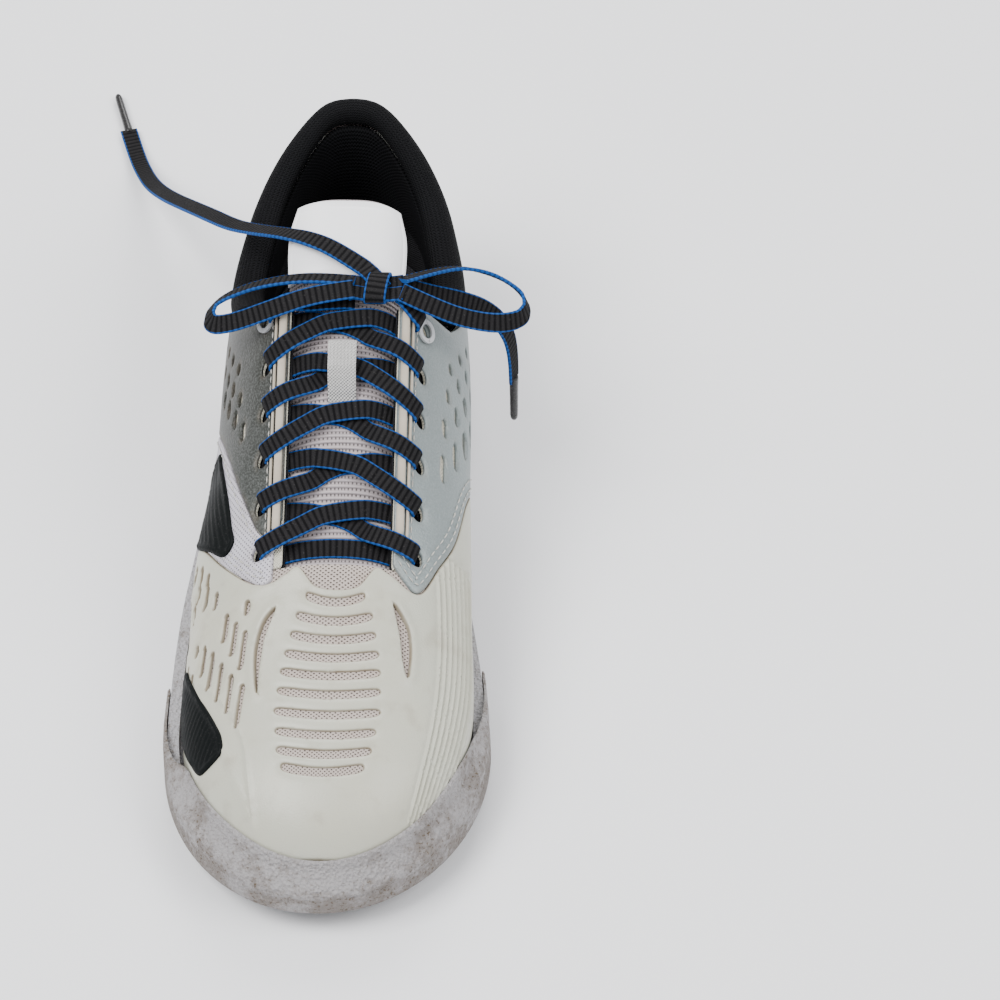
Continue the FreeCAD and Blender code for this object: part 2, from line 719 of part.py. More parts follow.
END_MEDIAL = [(22.6, 41.3, 108.6), (31, 43, 103.5), (41, 46, 98), (50.5, 49, 91), (57.5, 51, 80.5),
              (60.5, 52, 67), (60.5, 52.5, 52)]


def tube(points, diameter, name):
    """Lace core: straight runs joined by tangent arcs."""
    route = [Vector(*p) for p in points]
    edges = []
    here = route[0]
    tightest = 1e9
    for i in range(1, len(route) - 1):
        to_last = route[i - 1].sub(route[i])
        to_next = route[i + 1].sub(route[i])
        run = min(to_last.Length, to_next.Length)
        turn = math.pi - to_last.getAngle(to_next)
        back = 0.45 * run
        radius = back / math.tan(turn / 2)
        tightest = min(tightest, radius)
        a = route[i] + to_last.normalize() * back
        b = route[i] + to_next.normalize() * back
        bisector = (to_last + to_next).normalize()
        away = radius / math.cos(turn / 2) - radius
        edges.append(Part.makeLine(here, a))
        edges.append(Part.Arc(a, route[i] + bisector * away, b).toShape())
        here = b
    edges.append(Part.makeLine(here, route[-1]))
    spine = Part.Wire(edges)
    start = Part.Wire(Part.makeCircle(diameter / 2, route[0], route[1].sub(route[0])))
    solid = spine.makePipeShell([start], True, False)
    share = solid.Volume / (math.pi * diameter ** 2 / 4 * spine.Length)
    print(name, "length", round(spine.Length, 1), "tightest radius", round(tightest, 1),
          "volume share", round(share, 3))
    return solid


def aglet(points):
    """Hard sleeve on the lace's free end."""
    tip = Vector(*points[-1])
    way = tip.sub(Vector(*points[-2])).normalize()
    return Part.makeCylinder(LACE_CORE / 2, 22, tip, way)


def make_free_laces():
    pieces = {}
    for name, points in (("lace_loop_lateral", LOOP_LATERAL), ("lace_loop_medial", LOOP_MEDIAL),
                         ("lace_end_lateral", END_LATERAL), ("lace_end_medial", END_MEDIAL)):
        pieces[name] = tube(points, LACE_CORE, name)
    pieces["aglet_lateral"] = aglet(END_LATERAL)
    pieces["aglet_medial"] = aglet(END_MEDIAL)
    return pieces


def make_eyelet_rings():
    rings = []
    for side in (1, -1):
        start, way = eyelet_line(side, EYELETS - 1)
        seat = start.add(way * (OVERLAY[1] + 1.6))
        ring = Part.makeCylinder(4.2, 0.7, seat, way)
        rings.append(ring.cut(Part.makeCylinder(EYELET_HOLE / 2, 3, seat.sub(way), way)))
    return Part.makeCompound(rings)


def build():
    os.makedirs("parts", exist_ok=True)
    pieces = {}
    pieces.update(make_sole())
    pieces.update(make_upper())
    pieces.update(make_rear())
    pieces.update(make_tongue())
    pieces["lace_rows"] = make_lace_rows()
    pieces["lace_knot"] = make_knot()
    pieces["eyelet_rings"] = make_eyelet_rings()
    pieces.update(make_free_laces())
    for name, shape in pieces.items():
        print(name, "valid", shape.isValid(), "solids", len(shape.Solids), "volume", round(shape.Volume))
        shape.exportStep("parts/%s.step" % name)


build()
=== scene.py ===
import math

import bpy
import numpy as np
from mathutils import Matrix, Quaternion, Vector
from mathutils.geometry import delaunay_2d_cdt
from mathutils.kdtree import KDTree


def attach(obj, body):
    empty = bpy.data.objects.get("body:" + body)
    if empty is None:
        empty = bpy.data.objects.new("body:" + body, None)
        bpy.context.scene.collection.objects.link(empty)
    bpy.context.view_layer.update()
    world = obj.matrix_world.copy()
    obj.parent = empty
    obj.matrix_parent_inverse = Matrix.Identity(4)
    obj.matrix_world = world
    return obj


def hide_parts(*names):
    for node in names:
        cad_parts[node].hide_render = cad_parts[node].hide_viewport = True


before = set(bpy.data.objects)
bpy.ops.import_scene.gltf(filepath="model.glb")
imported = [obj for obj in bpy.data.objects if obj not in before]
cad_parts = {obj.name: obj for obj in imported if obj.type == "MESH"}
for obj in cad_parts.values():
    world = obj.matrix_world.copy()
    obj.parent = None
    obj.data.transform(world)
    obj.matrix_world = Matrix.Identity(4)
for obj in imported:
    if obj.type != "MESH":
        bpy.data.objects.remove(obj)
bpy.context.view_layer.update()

# The camera stands in front of the toe and looks down on the shoe, which fills the left of the view.
CAMERA_AT = Vector((0.0899, -0.8857, 1.0298))
CAMERA_DOWN = math.radians(48)
CAMERA_TURN = math.radians(-2.12)
CAMERA_TILT = math.radians(-0.53)
CAMERA_LENS = 136.8

camera = bpy.data.objects.new("camera", bpy.data.cameras.new("camera"))
bpy.context.scene.collection.objects.link(camera)
camera.data.lens = CAMERA_LENS
camera.location = CAMERA_AT
ahead = Vector((math.sin(CAMERA_TURN) * math.cos(CAMERA_DOWN), math.cos(CAMERA_TURN) * math.cos(CAMERA_DOWN),
                -math.sin(CAMERA_DOWN)))
camera.rotation_mode = "QUATERNION"
camera.rotation_quaternion = ahead.to_track_quat("-Z", "Y") @ Quaternion((0, 0, 1), CAMERA_TILT)
bpy.context.scene.camera = camera

# Soft studio light: a wide key overhead on the left, a fill on the right, a lower one behind, pale air.
AIR_COLOUR = (0.93, 0.95, 1.0, 1)
AIR_LIGHT = 0.66
world = bpy.data.worlds.new("studio")
world.use_nodes = True
world.node_tree.nodes["Background"].inputs["Color"].default_value = AIR_COLOUR
world.node_tree.nodes["Background"].inputs["Strength"].default_value = AIR_LIGHT
bpy.context.scene.world = world
KEY_LIGHT = ((-0.9, -0.5, 1.7), 1.1, 50)
FILL_LIGHT = ((1.1, -0.4, 1.3), 1.0, 20)
BACK_LIGHT = ((0.1, 1.3, 1.1), 0.9, 18)
for place, size, power in (KEY_LIGHT, FILL_LIGHT, BACK_LIGHT):
    lamp = bpy.data.objects.new("softbox", bpy.data.lights.new("softbox", "AREA"))
    lamp.data.energy = power
    lamp.data.size = size
    lamp.location = place
    lamp.rotation_mode = "QUATERNION"
    lamp.rotation_quaternion = (-Vector(place)).to_track_quat("-Z", "Y")
    bpy.context.scene.collection.objects.link(lamp)


# The outsole is moulded pale rubber with grooves across it, glued under the midsole. It is the
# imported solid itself, with a worn rubber finish. The small classes below write every material.
class Wire:
    """A value in a material. Arithmetic on wires adds the material's Math nodes."""

    def __init__(self, finish, socket):
        self.finish = finish
        self.socket = socket

    def sum(self, operation, *values):
        return self.finish.node("Math", {"operation": operation}, dict(enumerate((self, *values))))

    def __add__(self, other):
        return self.sum("ADD", other)

    def __sub__(self, other):
        return self.sum("SUBTRACT", other)

    def __mul__(self, other):
        return self.sum("MULTIPLY", other)

    def __rsub__(self, other):
        return self.finish.node("Math", {"operation": "SUBTRACT"}, {0: other, 1: self})

    __radd__ = __add__
    __rmul__ = __mul__

    def step(self, low, high):
        """0 below low, 1 above high, smooth between them."""
        return self.finish.node("MapRange", {"interpolation_type": "SMOOTHSTEP"},
                                {"Value": self, "From Min": low, "From Max": high})


class Finish:
    """A material in the making, with its own Principled shader."""

    def __init__(self, name, **uniform):
        self.material = bpy.data.materials.new(name)
        self.material.use_nodes = True
        self.tree = self.material.node_tree
        self.shader = self.tree.nodes["Principled BSDF"]
        for key, value in uniform.items():
            self.shader.inputs[key.replace("_", " ")].default_value = value

    def node(self, kind, settings, inputs, output=0):
        made = self.tree.nodes.new("ShaderNode" + kind)
        for key, value in settings.items():
            setattr(made, key, value)
        for key, value in inputs.items():
            self.feed(made.inputs[key], value)
        return Wire(self, made.outputs[output])

    def feed(self, socket, value):
        if isinstance(value, Wire):
            self.tree.links.new(value.socket, socket)
        else:
            socket.default_value = value

    def place(self):
        """Where a point is on the shoe, metres."""
        return self.node("TexCoord", {}, {}, "Object")

    def flat(self):
        """Where a point is on the piece laid flat, metres."""
        return self.node("UVMap", {"uv_map": "flat"}, {})

    def axes(self, vector):
        split = self.node("SeparateXYZ", {}, {0: vector})
        outputs = split.socket.node.outputs
        return [Wire(self, outputs[i]) for i in range(3)]

    def noise(self, vector, size, detail=3.0):
        """Cloudy value about 0.5, with patches about size metres across."""
        return self.node("TexNoise", {}, {"Vector": vector, "Scale": 1 / size, "Detail": detail})

    def cells(self, vector, size, feature="F1"):
        inputs = {"Vector": vector, "Scale": 1 / size}
        return self.node("TexVoronoi", {"feature": feature}, inputs, "Distance")

    def rim(self):
        """Distance from the piece's cut edge, millimetres."""
        return self.node("Attribute", {"attribute_name": "rim"}, {}, "Fac")

    def mix(self, share, first, second):
        return self.node("Mix", {"data_type": "RGBA"}, {0: share, 6: first, 7: second}, 2)

    def wear(self, **sockets):
        """What changes over the surface: colour, roughness, and height as a bump."""
        for key, value in sockets.items():
            if key == "height":
                value, key = self.node("Bump", {}, {"Height": value, "Distance": 0.001}), "Normal"
            self.feed(self.shader.inputs[key.replace("_", " ")], value)
        return self.material


def tone(red, green, blue):
    return (red, green, blue, 1.0)


def rubber(name, clean, dirt, share, grain):
    """Moulded rubber: fine pebbles, dirt in patches and low down, duller where dirty."""
    finish = Finish(name, Specular_IOR_Level=0.4)
    place = finish.place()
    z = finish.axes(place)[2]
    patches = finish.noise(place, 0.014, 8.0) * 0.6 + finish.noise(place, 0.0025, 5.0) * 0.4
    dirty = (patches + (0.022 - z) * 6.0).step(0.58 - share, 0.78 - share)
    specks = finish.noise(place, 0.0009, 3.0).step(0.56, 0.66)
    colour = finish.mix(dirty * 0.55 + specks * (dirty * 0.30 + 0.30), clean, dirt)
    pebbles = finish.cells(place, grain) * 0.8 + finish.noise(place, grain * 0.5) * 0.4 - dirty * 0.2
    return finish.wear(Base_Color=colour, Roughness=dirty * 0.2 + 0.55, height=pebbles)


sole_rubber = rubber("sole_rubber", tone(0.36, 0.36, 0.37), tone(0.12, 0.09, 0.06), 0.12, 0.0008)


def dress(node, material):
    """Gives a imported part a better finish."""
    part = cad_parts[node]
    part.data.materials.clear()
    part.data.materials.append(material)


dress("outsole", sole_rubber)

# The midsole is one moulded foam cup, lavender white, with a skin that yellows and catches dirt in
# its texture. Under the arch it holds a stiff moulded shank plate.
foam_skin = rubber("foam_skin", tone(0.38, 0.37, 0.385), tone(0.15, 0.115, 0.08), 0.06, 0.0012)
dress("midsole", foam_skin)
shank = Finish("shank", Roughness=0.45)
grain = shank.noise(shank.place(), 0.002)
dress("shank_plate", shank.wear(Base_Color=shank.mix(grain, tone(0.03, 0.03, 0.035),
                                                                     tone(0.07, 0.07, 0.08)), height=grain))

# The lasting board is pressed tan fibre, glued over the cup; the upper is lasted round its edge.
board = Finish("fibre_board", Roughness=0.9)
fibres = board.noise(board.place(), 0.0015, 8.0)
dress("lasting_board", board.wear(Base_Color=board.mix(fibres, tone(0.42, 0.31, 0.2),
                                                                 tone(0.6, 0.48, 0.34)), height=fibres))

# The toe guard is a pebbled rubber bumper cemented round the toe, further back on the medial side, with
# two moulded grooves there and a sunken field on the lateral side. It is shaped on the last,
# the foot form that every part of the upper is pulled over, given here in millimetres: the toe points
# to -Y, medial is +X, and "out" is a layer's distance outside the last.
MM = 0.001
TOE_Y, HEEL_Y = -143.0, 141.0
TOE_ROUND, TOE_DROP, HEEL_ROUND = 62.0, 34.0, 42.0
HALF_LATERAL = [(-150, 44.5), (-85, 44.5), (-60, 44.5), (-30, 43), (0, 39.5), (40, 36), (80, 33.5),
                (115, 31.5), (150, 31)]
HALF_MEDIAL = [(-150, 45.5), (-85, 45.5), (-60, 43.5), (-30, 38.5), (0, 34.5), (40, 33.5), (80, 33),
               (115, 31.5), (150, 31)]
SWELL_LATERAL = [(-150, .03), (-60, .06), (-30, .10), (0, .08), (40, .13), (80, .16), (115, .09), (150, .03)]
SWELL_MEDIAL = [(-150, .03), (-60, .07), (-30, .16), (0, .24), (40, .25), (80, .2), (115, .10), (150, .03)]
FEATHER = [(-150, 21), (-120, 18), (-85, 16.5), (-40, 17.5), (10, 21), (60, 24), (100, 25), (150, 25)]
INSTEP = [(-150, 22), (-125, 26), (-100, 31), (-70, 38), (-40, 49), (-10, 66), (20, 80), (50, 90), (90, 94),
          (150, 94)]
SQUARENESS = [(-150, 2.2), (-60, 2.3), (0, 2.6), (60, 3.6), (150, 4.2)]
RIDGE_X = [(-150, 2), (-60, 4), (0, 4.5), (60, 2), (150, 0)]
NARROWING = [(-150, 0), (-30, 0), (40, .10), (90, .22), (150, .30)]
BACK_CURVE = [(0, 0), (34, 0.5), (55, 4), (80, 2), (105, -2), (140, -5)]


def along(stations, at):
    """Smooth value at places between given stations."""
    places, values = np.array(stations, float).T
    count = len(places)
    before = np.maximum(np.arange(count) - 1, 0)
    after = np.minimum(np.arange(count) + 1, count - 1)
    slopes = (values[after] - values[before]) / (places[after] - places[before])
    at = np.clip(at, places[0], places[-1])
    k = np.clip(np.searchsorted(places, at) - 1, 0, count - 2)
    span = places[k + 1] - places[k]
    t = (at - places[k]) / span
    return ((1 + 2 * t) * (1 - t) ** 2 * values[k] + t * (1 - t) ** 2 * span * slopes[k]
            + t * t * (3 - 2 * t) * values[k + 1] + t * t * (t - 1) * span * slopes[k + 1])


def ease(low, high, at):
    t = np.clip((at - low) / (high - low), 0.0, 1.0)
    return t * t * (3 - 2 * t)


def mix(first, second, share):
    return first + (second - first) * share


def rounded(q, power):
    return np.maximum(0.0, 1 - np.clip(q, 0.0, 1.0) ** power) ** (1 / power)


def half_width(y, out, side):
    stations = np.where(side > 0, along(HALF_MEDIAL, y), along(HALF_LATERAL, y))
    toe = rounded((TOE_Y + TOE_ROUND - y) / (TOE_ROUND + out), 2.05)
    heel = rounded((y - HEEL_Y + HEEL_ROUND) / (HEEL_ROUND + out), 2.2)
    return (stations + out) * toe * heel


def crown(y, out):
    return (along(INSTEP, y) + out) * rounded((TOE_Y + TOE_DROP - y) / (TOE_DROP + out), 2.2)


def swell(y, rise, side):
    stations = np.where(side > 0, along(SWELL_MEDIAL, y), along(SWELL_LATERAL, y))
    bulge = ease(.06, .45, rise) - ease(.45, 1, rise)
    return 1 + stations * bulge - along(NARROWING, y) * rise ** 1.3


def lean_back(y, z):
    return y + ease(60, HEEL_Y, y) * along(BACK_CURVE, z)


def points(x, y, z):
    return np.stack(np.broadcast_arrays(x, y, z), -1)


def last_point(y, turn, out):
    """Points of a layer: turn 0 at the medial edge, 90 on the ridge, 180 at the lateral edge."""
    c = np.cos(np.radians(turn))
    power = along(SQUARENESS, y)
    rise = np.maximum(np.sin(np.radians(turn)), 0.0) ** (2 / power)
    side = np.where(c >= 0, 1, -1)
    x = side * half_width(y, out, side) * swell(y, rise, side) * np.abs(c) ** (2 / power)
    z = along(FEATHER, y) + crown(y, out) * rise
    return points(x + along(RIDGE_X, y) * rise, lean_back(y, z), z)


def grid(across, up):
    return np.meshgrid(np.linspace(0, 1, across + 1), np.linspace(0, 1, up + 1), indexing="ij")


def piece(name, places, faces, material, slot, *nodes, body="root", flat=None, rim=None, second=None,
          seconds=None, sharp=42):
    """A mesh from points in millimetres, with its finish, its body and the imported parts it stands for."""
    mesh = bpy.data.meshes.new(name)
    mesh.from_pydata((np.asarray(places) * MM).tolist(), [], faces)
    mesh.materials.append(material)
    if second is not None:
        mesh.materials.append(second)
        mesh.polygons.foreach_set("material_index", np.asarray(seconds, np.int32))
    if flat is not None:
        corners = np.zeros(len(mesh.loops), np.int32)
        mesh.loops.foreach_get("vertex_index", corners)
        mesh.uv_layers.new(name="flat").data.foreach_set("uv", (np.asarray(flat)[corners] * MM).ravel())
    if rim is not None:
        mesh.attributes.new("rim", "FLOAT", "POINT").data.foreach_set("value", np.asarray(rim, np.float32))
    mesh.validate()
    mesh.shade_smooth()
    mesh.set_sharp_from_angle(angle=math.radians(sharp))
    made = bpy.data.objects.new(name, mesh)
    bpy.context.scene.collection.objects.link(made)
    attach(made, body)
    if nodes:
        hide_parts(*nodes)
    return made


def closed_grid(inner, outer):
    """Points and faces of the closed sheet between two grids of points."""
    rows, columns = outer.shape[:2]
    number = np.arange(rows * columns).reshape(rows, columns)
    below = number + rows * columns

    def quads(a, b, c, d):
        return np.stack([a.ravel(), b.ravel(), c.ravel(), d.ravel()], 1)

    faces = [quads(number[:-1, :-1], number[1:, :-1], number[1:, 1:], number[:-1, 1:]),
             quads(below[:-1, :-1], below[:-1, 1:], below[1:, 1:], below[1:, :-1])]
    edge = np.concatenate([number[:, 0], number[-1, 1:], number[-2::-1, -1], number[0, -2:0:-1]])
    following = np.roll(edge, -1)
    shift = rows * columns
    faces.append(quads(following, edge, edge + shift, following + shift))
    places = np.concatenate([outer.reshape(-1, 3), inner.reshape(-1, 3)])
    faces = np.concatenate(faces)
    middle = rows // 2, columns // 2
    u = outer[middle[0] + 1, middle[1]] - outer[middle]
    v = outer[middle[0], middle[1] + 1] - outer[middle]
    if np.dot(np.cross(u, v), outer[middle] - inner[middle]) < 0:
        faces = faces[:, ::-1]
    return places, faces.tolist()


def lengths(sheet):
    """Rough flat coordinates of a grid of points: lengths along its rows and columns."""
    u = np.concatenate([[0], np.cumsum(np.linalg.norm(np.diff(sheet, axis=0), axis=2).mean(1))])
    v = np.concatenate([[0], np.cumsum(np.linalg.norm(np.diff(sheet, axis=1), axis=2).mean(0))])
    return np.stack(np.meshgrid(u, v, indexing="ij"), -1)


def edge_distance(sheet):
    """Distance of each point of a grid from the sheet's nearest edge."""
    flat = lengths(sheet)
    far = flat[-1, -1]
    return np.minimum(np.minimum(flat[..., 0], far[0] - flat[..., 0]),
                      np.minimum(flat[..., 1], far[1] - flat[..., 1]))


def rolled(distance, radius):
    """How far a sheet's face drops towards its cut edge."""
    q = np.clip(1 - distance / radius, 0.0, 1.0)
    return radius * (1 - np.sqrt(np.maximum(1 - q * q, 0.0)))


def layer(name, place, across, up, low, high, material, slot, *nodes, relief=None, roll=0.4, body="root"):
    """A closed layer: place(u, v, out) gives its points, high is its visible face, relief its pattern."""
    u, v = grid(across, up)
    flat = lengths(place(u, v, high))
    distance = edge_distance(place(u, v, high))
    lift = -rolled(distance, roll)
    if relief is not None:
        lift = lift + relief(u, v)
    outer = place(u, v, high + lift * (1 if high > low else -1))
    inner = place(u, v, low + 0 * u)
    places, faces = closed_grid(inner, outer)
    flat = flat.reshape(-1, 2)
    distance = distance.ravel()
    return piece(name, places, faces, material, slot, *nodes, body=body, flat=np.concatenate([flat, flat]),
                 rim=np.concatenate([distance, 0 * distance]))


SOLE_OUT = 9.0
OVERLAY = (2.7, 3.8)
BALL_Y = TOE_Y + TOE_ROUND - 4.0
OUTSOLE = 4.0
GUARD_THICKNESS = 1.6
BEND_Y, TOE_SPRING, HEEL_BEVEL = -60.0, 8.0, 0.008
GUARD_FROM, GUARD_TO, GUARD_ROUND = -28, 198, 60
CUP_RIM = [(-150, 18.5), (-110, 19), (-60, 21.5), (-20, 25), (20, 29), (70, 32.5), (150, 34)]
GUARD_TOP = [(-30, 20.5), (0, 25), (25, 31), (60, 31), (90, 29.5), (120, 31), (150, 28), (165, 23),
             (200, 20.5)]


def tread(y):
    front = np.maximum(0.0, (BEND_Y - y) / (BEND_Y - TOE_Y + SOLE_OUT))
    back = np.maximum(0.0, y - HEEL_Y + 10)
    return TOE_SPRING * front ** 2 + HEEL_BEVEL * back ** 2


def reach(inside, far=90.0):
    """How far out inside.test holds, for many directions at once."""
    low = np.full(inside.shape, 5.0)
    high = np.full(inside.shape, far)
    for _ in range(26):
        radius = (low + high) / 2
        held = inside.test(radius)
        low = np.where(held, radius, low)
        high = np.where(held, high, radius)
    return low


class Plan:
    """Is a place, in polar form about the ball of the foot, inside the sole's outline?"""

    def __init__(self, angle, out):
        self.angle, self.out, self.shape = angle, out, angle.shape

    def at(self, radius):
        return radius * np.cos(self.angle), BALL_Y - radius * np.sin(self.angle)

    def test(self, radius):
        x, y = self.at(radius)
        return np.abs(x) < half_width(y, self.out, x)


class Wall(Plan):
    """Is it inside a layer of the upper at one height?"""

    def __init__(self, angle, out, z):
        super().__init__(angle, out)
        self.z = z

    def test(self, radius):
        x, y = self.at(radius)
        rise = np.maximum(0.0, self.z - along(FEATHER, y)) / np.maximum(crown(y, self.out), 0.01)
        power = along(SQUARENESS, y)
        width = (half_width(y, self.out, x) * swell(y, np.minimum(rise, 1.0), x)
                 * np.maximum(1 - rise ** power, 0.0) ** (1 / power))
        return (rise < 1) & (np.abs(x - along(RIDGE_X, y) * rise) < width)


def guard_point(u, height, wall):
    turn = mix(GUARD_FROM, GUARD_TO, u)
    angle = np.radians(turn)
    y = BALL_Y - GUARD_ROUND * np.sin(angle)
    z = mix(tread(y) + OUTSOLE + 0.5, along(GUARD_TOP, turn), height)
    rim = along(CUP_RIM, y) + 0.6
    over_sole = reach(Plan(angle, SOLE_OUT + 0.3))
    over_upper = reach(Wall(angle, OVERLAY[1] + 0.4, z))
    inner = mix(over_sole, over_upper, ease(rim, rim + 8, z))
    r = inner + wall * mix(1, 0.6, height)
    return points(r * np.cos(angle), BALL_Y - r * np.sin(angle), z)


def groove(distance, width, depth):
    """A rounded channel's depth at a distance from its middle."""
    return -depth * np.exp(-(distance / width) ** 2)


def guard_relief(u, v):
    turn = mix(GUARD_FROM, GUARD_TO, u)
    medial = ease(-10, 2, turn) * (1 - ease(78, 86, turn))
    upper = groove(v - mix(.40, .62, turn / 80), .035, .5)
    lower = groove(v - mix(.22, .36, turn / 80), .03, .5)
    grooves = medial * (upper + lower)
    field = ease(96, 99, turn) * (1 - ease(138, 142, turn)) * ease(.16, .2, v) * (1 - ease(.50, .54, v))
    return grooves - 0.4 * field - 0.25 * groove(v - .93, .03, -1)


guard_rubber = rubber("guard_rubber", tone(0.31, 0.295, 0.295), tone(0.10, 0.072, 0.045), 0.18, 0.0012)
layer("toe_guard", guard_point, 260, 44, 0.0, GUARD_THICKNESS, guard_rubber, "toe_guard", "toe_guard",
      relief=guard_relief, roll=0.7)

# The vamp starts with a smooth textile lining, a moulded toe puff of stiff white fibre over the toes
# and an open pinkish knit mesh. All are lasted under and glued at their edge.
LINING = (0.0, 0.8)
STIFFENER = (0.9, 1.7)
MESH = (1.8, 2.6)
MESH_BACK = -48.0


def front_layer(back):
    def place(u, v, out):
        turn = 90 * (1 - np.cos(v * math.pi))
        toe_edge = TOE_Y - out + 2.0
        return last_point(mix(toe_edge, back(turn), 1 - np.cos(u * math.pi / 2)), turn, out)
    return place


def textile(name, light, dark, thread, roughness=0.85):
    """Plain weave: over-and-under threads in two directions, slightly uneven in colour."""
    finish = Finish(name, Specular_IOR_Level=0.2)
    x, y = finish.axes(finish.flat())[:2]
    across = (x * (2 * math.pi / thread)).sum("SINE")
    down = (y * (2 * math.pi / thread)).sum("SINE")
    weave = across * down
    tint = finish.noise(finish.place(), 0.006, 4.0)
    colour = finish.mix(weave * 0.22 + tint * 0.6 + 0.1, dark, light)
    return finish.wear(Base_Color=colour, Roughness=tint * 0.1 + roughness, height=weave * 0.35)


def open_mesh(name, thread, hole, pitch, dirt=0.25):
    """Knit mesh: staggered rows of small dark holes between soft threads, dirty in patches."""
    finish = Finish(name, Specular_IOR_Level=0.2)
    flat = finish.flat()
    x, y = finish.axes(flat)[:2]
    pull = finish.noise(flat, pitch * 1.5, 2.0) * (pitch * 0.35)
    across = ((x + pull) * (2 * math.pi / pitch)).sum("COSINE")
    wave = across * ((y + pull) * (2 * math.pi / pitch)).sum("COSINE")
    holes = wave.step(0.35, 0.75)
    patches = finish.noise(finish.place(), 0.014, 5.0).step(0.50, 0.75)
    twist = finish.noise(flat, pitch * 0.3, 2.0)
    yarn = finish.mix(patches * dirt + twist * 0.25, thread, tone(0.36, 0.27, 0.21))
    colour = finish.mix(holes * 0.85, yarn, hole)
    return finish.wear(Base_Color=colour, Roughness=twist * 0.15 + 0.75, height=twist * 0.2 - holes * 0.7)


lining_cloth = textile("lining_cloth", tone(0.035, 0.035, 0.038), tone(0.010, 0.010, 0.012), 0.0009)
fibre = Finish("stiff_fibre", Roughness=0.8)
felt = fibre.noise(fibre.place(), 0.001, 6.0)
fibre.wear(Base_Color=fibre.mix(felt, tone(0.6, 0.58, 0.54), tone(0.75, 0.74, 0.7)), height=felt)
vamp_knit = open_mesh("vamp_knit", tone(0.47, 0.41, 0.37), tone(0.045, 0.035, 0.03), 0.0014)
PUFF_BACK = -112.0
to_throat = front_layer(lambda turn: MESH_BACK)
layer("vamp_lining", to_throat, 60, 60, *LINING, lining_cloth, "lining", "vamp_lining")
layer("toe_puff", front_layer(lambda turn: PUFF_BACK), 40, 60, *STIFFENER, fibre.material, "stiffener",
      "toe_puff")
layer("vamp_mesh", to_throat, 90, 90, *MESH, vamp_knit, "mesh", "vamp_mesh")

# The vamp cage is a cream moulded film welded over the mesh, with ten bowed slots over the toes, a
# crescent on each side of them, staggered long slots on the lateral side, fine ribs on the medial
# side and a raised line that runs from the lateral window down to the toe guard. Panels like this
# one are cut flat: g is the distance across the foot from its ridge, and y runs along the foot.
SEAM_GAP = 0.4
MEDIAL_SEAM = [(0, 9), (14, 1), (25, -10), (35, -29), (45, -41), (57, -53.6), (64, -51), (72, -44)]
LATERAL_SEAM = [(108, -44), (116, -53), (125, -50), (138, -41), (152, -29), (166, -20), (180, -14)]
THROAT_FOOT = [(72, -50), (77, -49), (84, -56), (96, -56), (103, -49), (108, -51)]
CAGE_BACK = ([(turn, y - SEAM_GAP) for turn, y in MEDIAL_SEAM[:-2]] + THROAT_FOOT
             + [(turn, y - SEAM_GAP) for turn, y in LATERAL_SEAM[1:]])
SLOT_Y = [-61, -67.5, -74, -80.5, -87, -94, -101.5, -109, -116, -122]
SLOT_HALF = [10, 13, 14.5, 16, 17, 17.5, 18, 17, 16, 14]
SLOT_WIDTH, SLOT_BOW, SIDE_SLOT_WIDTH = 2.9, 2.5, 1.7

rows_y = np.arange(TOE_Y - 2, 84.0)
turns = np.linspace(0, 180, 361)
wide = last_point(rows_y[:, None], turns[None, :], OVERLAY[1])
steps = np.linalg.norm(np.diff(wide, axis=1), axis=2)
walked = np.concatenate([np.zeros((len(rows_y), 1)), np.cumsum(steps, axis=1)], axis=1)
girths = walked[:, 180:181] - walked
girth_line = np.arange(-135.0, 136.0)
turn_map = np.array([np.interp(girth_line, row[::-1], turns[::-1]) for row in girths])


def read_map(table, row_at, column_at):
    """Value of a table between its rows and columns."""
    row_at = np.clip(row_at, 0, table.shape[0] - 1.001)
    column_at = np.clip(column_at, 0, table.shape[1] - 1.001)
    r, c = row_at.astype(int), column_at.astype(int)
    s, t = row_at - r, column_at - c
    return ((table[r, c] * (1 - t) + table[r, c + 1] * t) * (1 - s)
            + (table[r + 1, c] * (1 - t) + table[r + 1, c + 1] * t) * s)


def girth(y, turn):
    """Distance across the foot from the ridge to a turn."""
    y, turn = np.broadcast_arrays(np.asarray(y, float), np.asarray(turn, float))
    return read_map(girths, y - rows_y[0], turn * 2)


def skin(flat, out):
    """Points on the shoe over flat points (g, y)."""
    g, y = flat[:, 0], flat[:, 1]
    return last_point(y, read_map(turn_map, y - rows_y[0], g - girth_line[0]), out)


def trace(corners, step=1.2):
    """Points at even steps along the straight lines between corners; the last corner is left out."""
    line = []
    for start, end in zip(corners[:-1], corners[1:]):
        start, end = np.array(start, float), np.array(end, float)
        count = max(1, int(np.ceil(np.linalg.norm(end - start) / step)))
        line += [start + (end - start) * i / count for i in range(count)]
    return np.array(line)


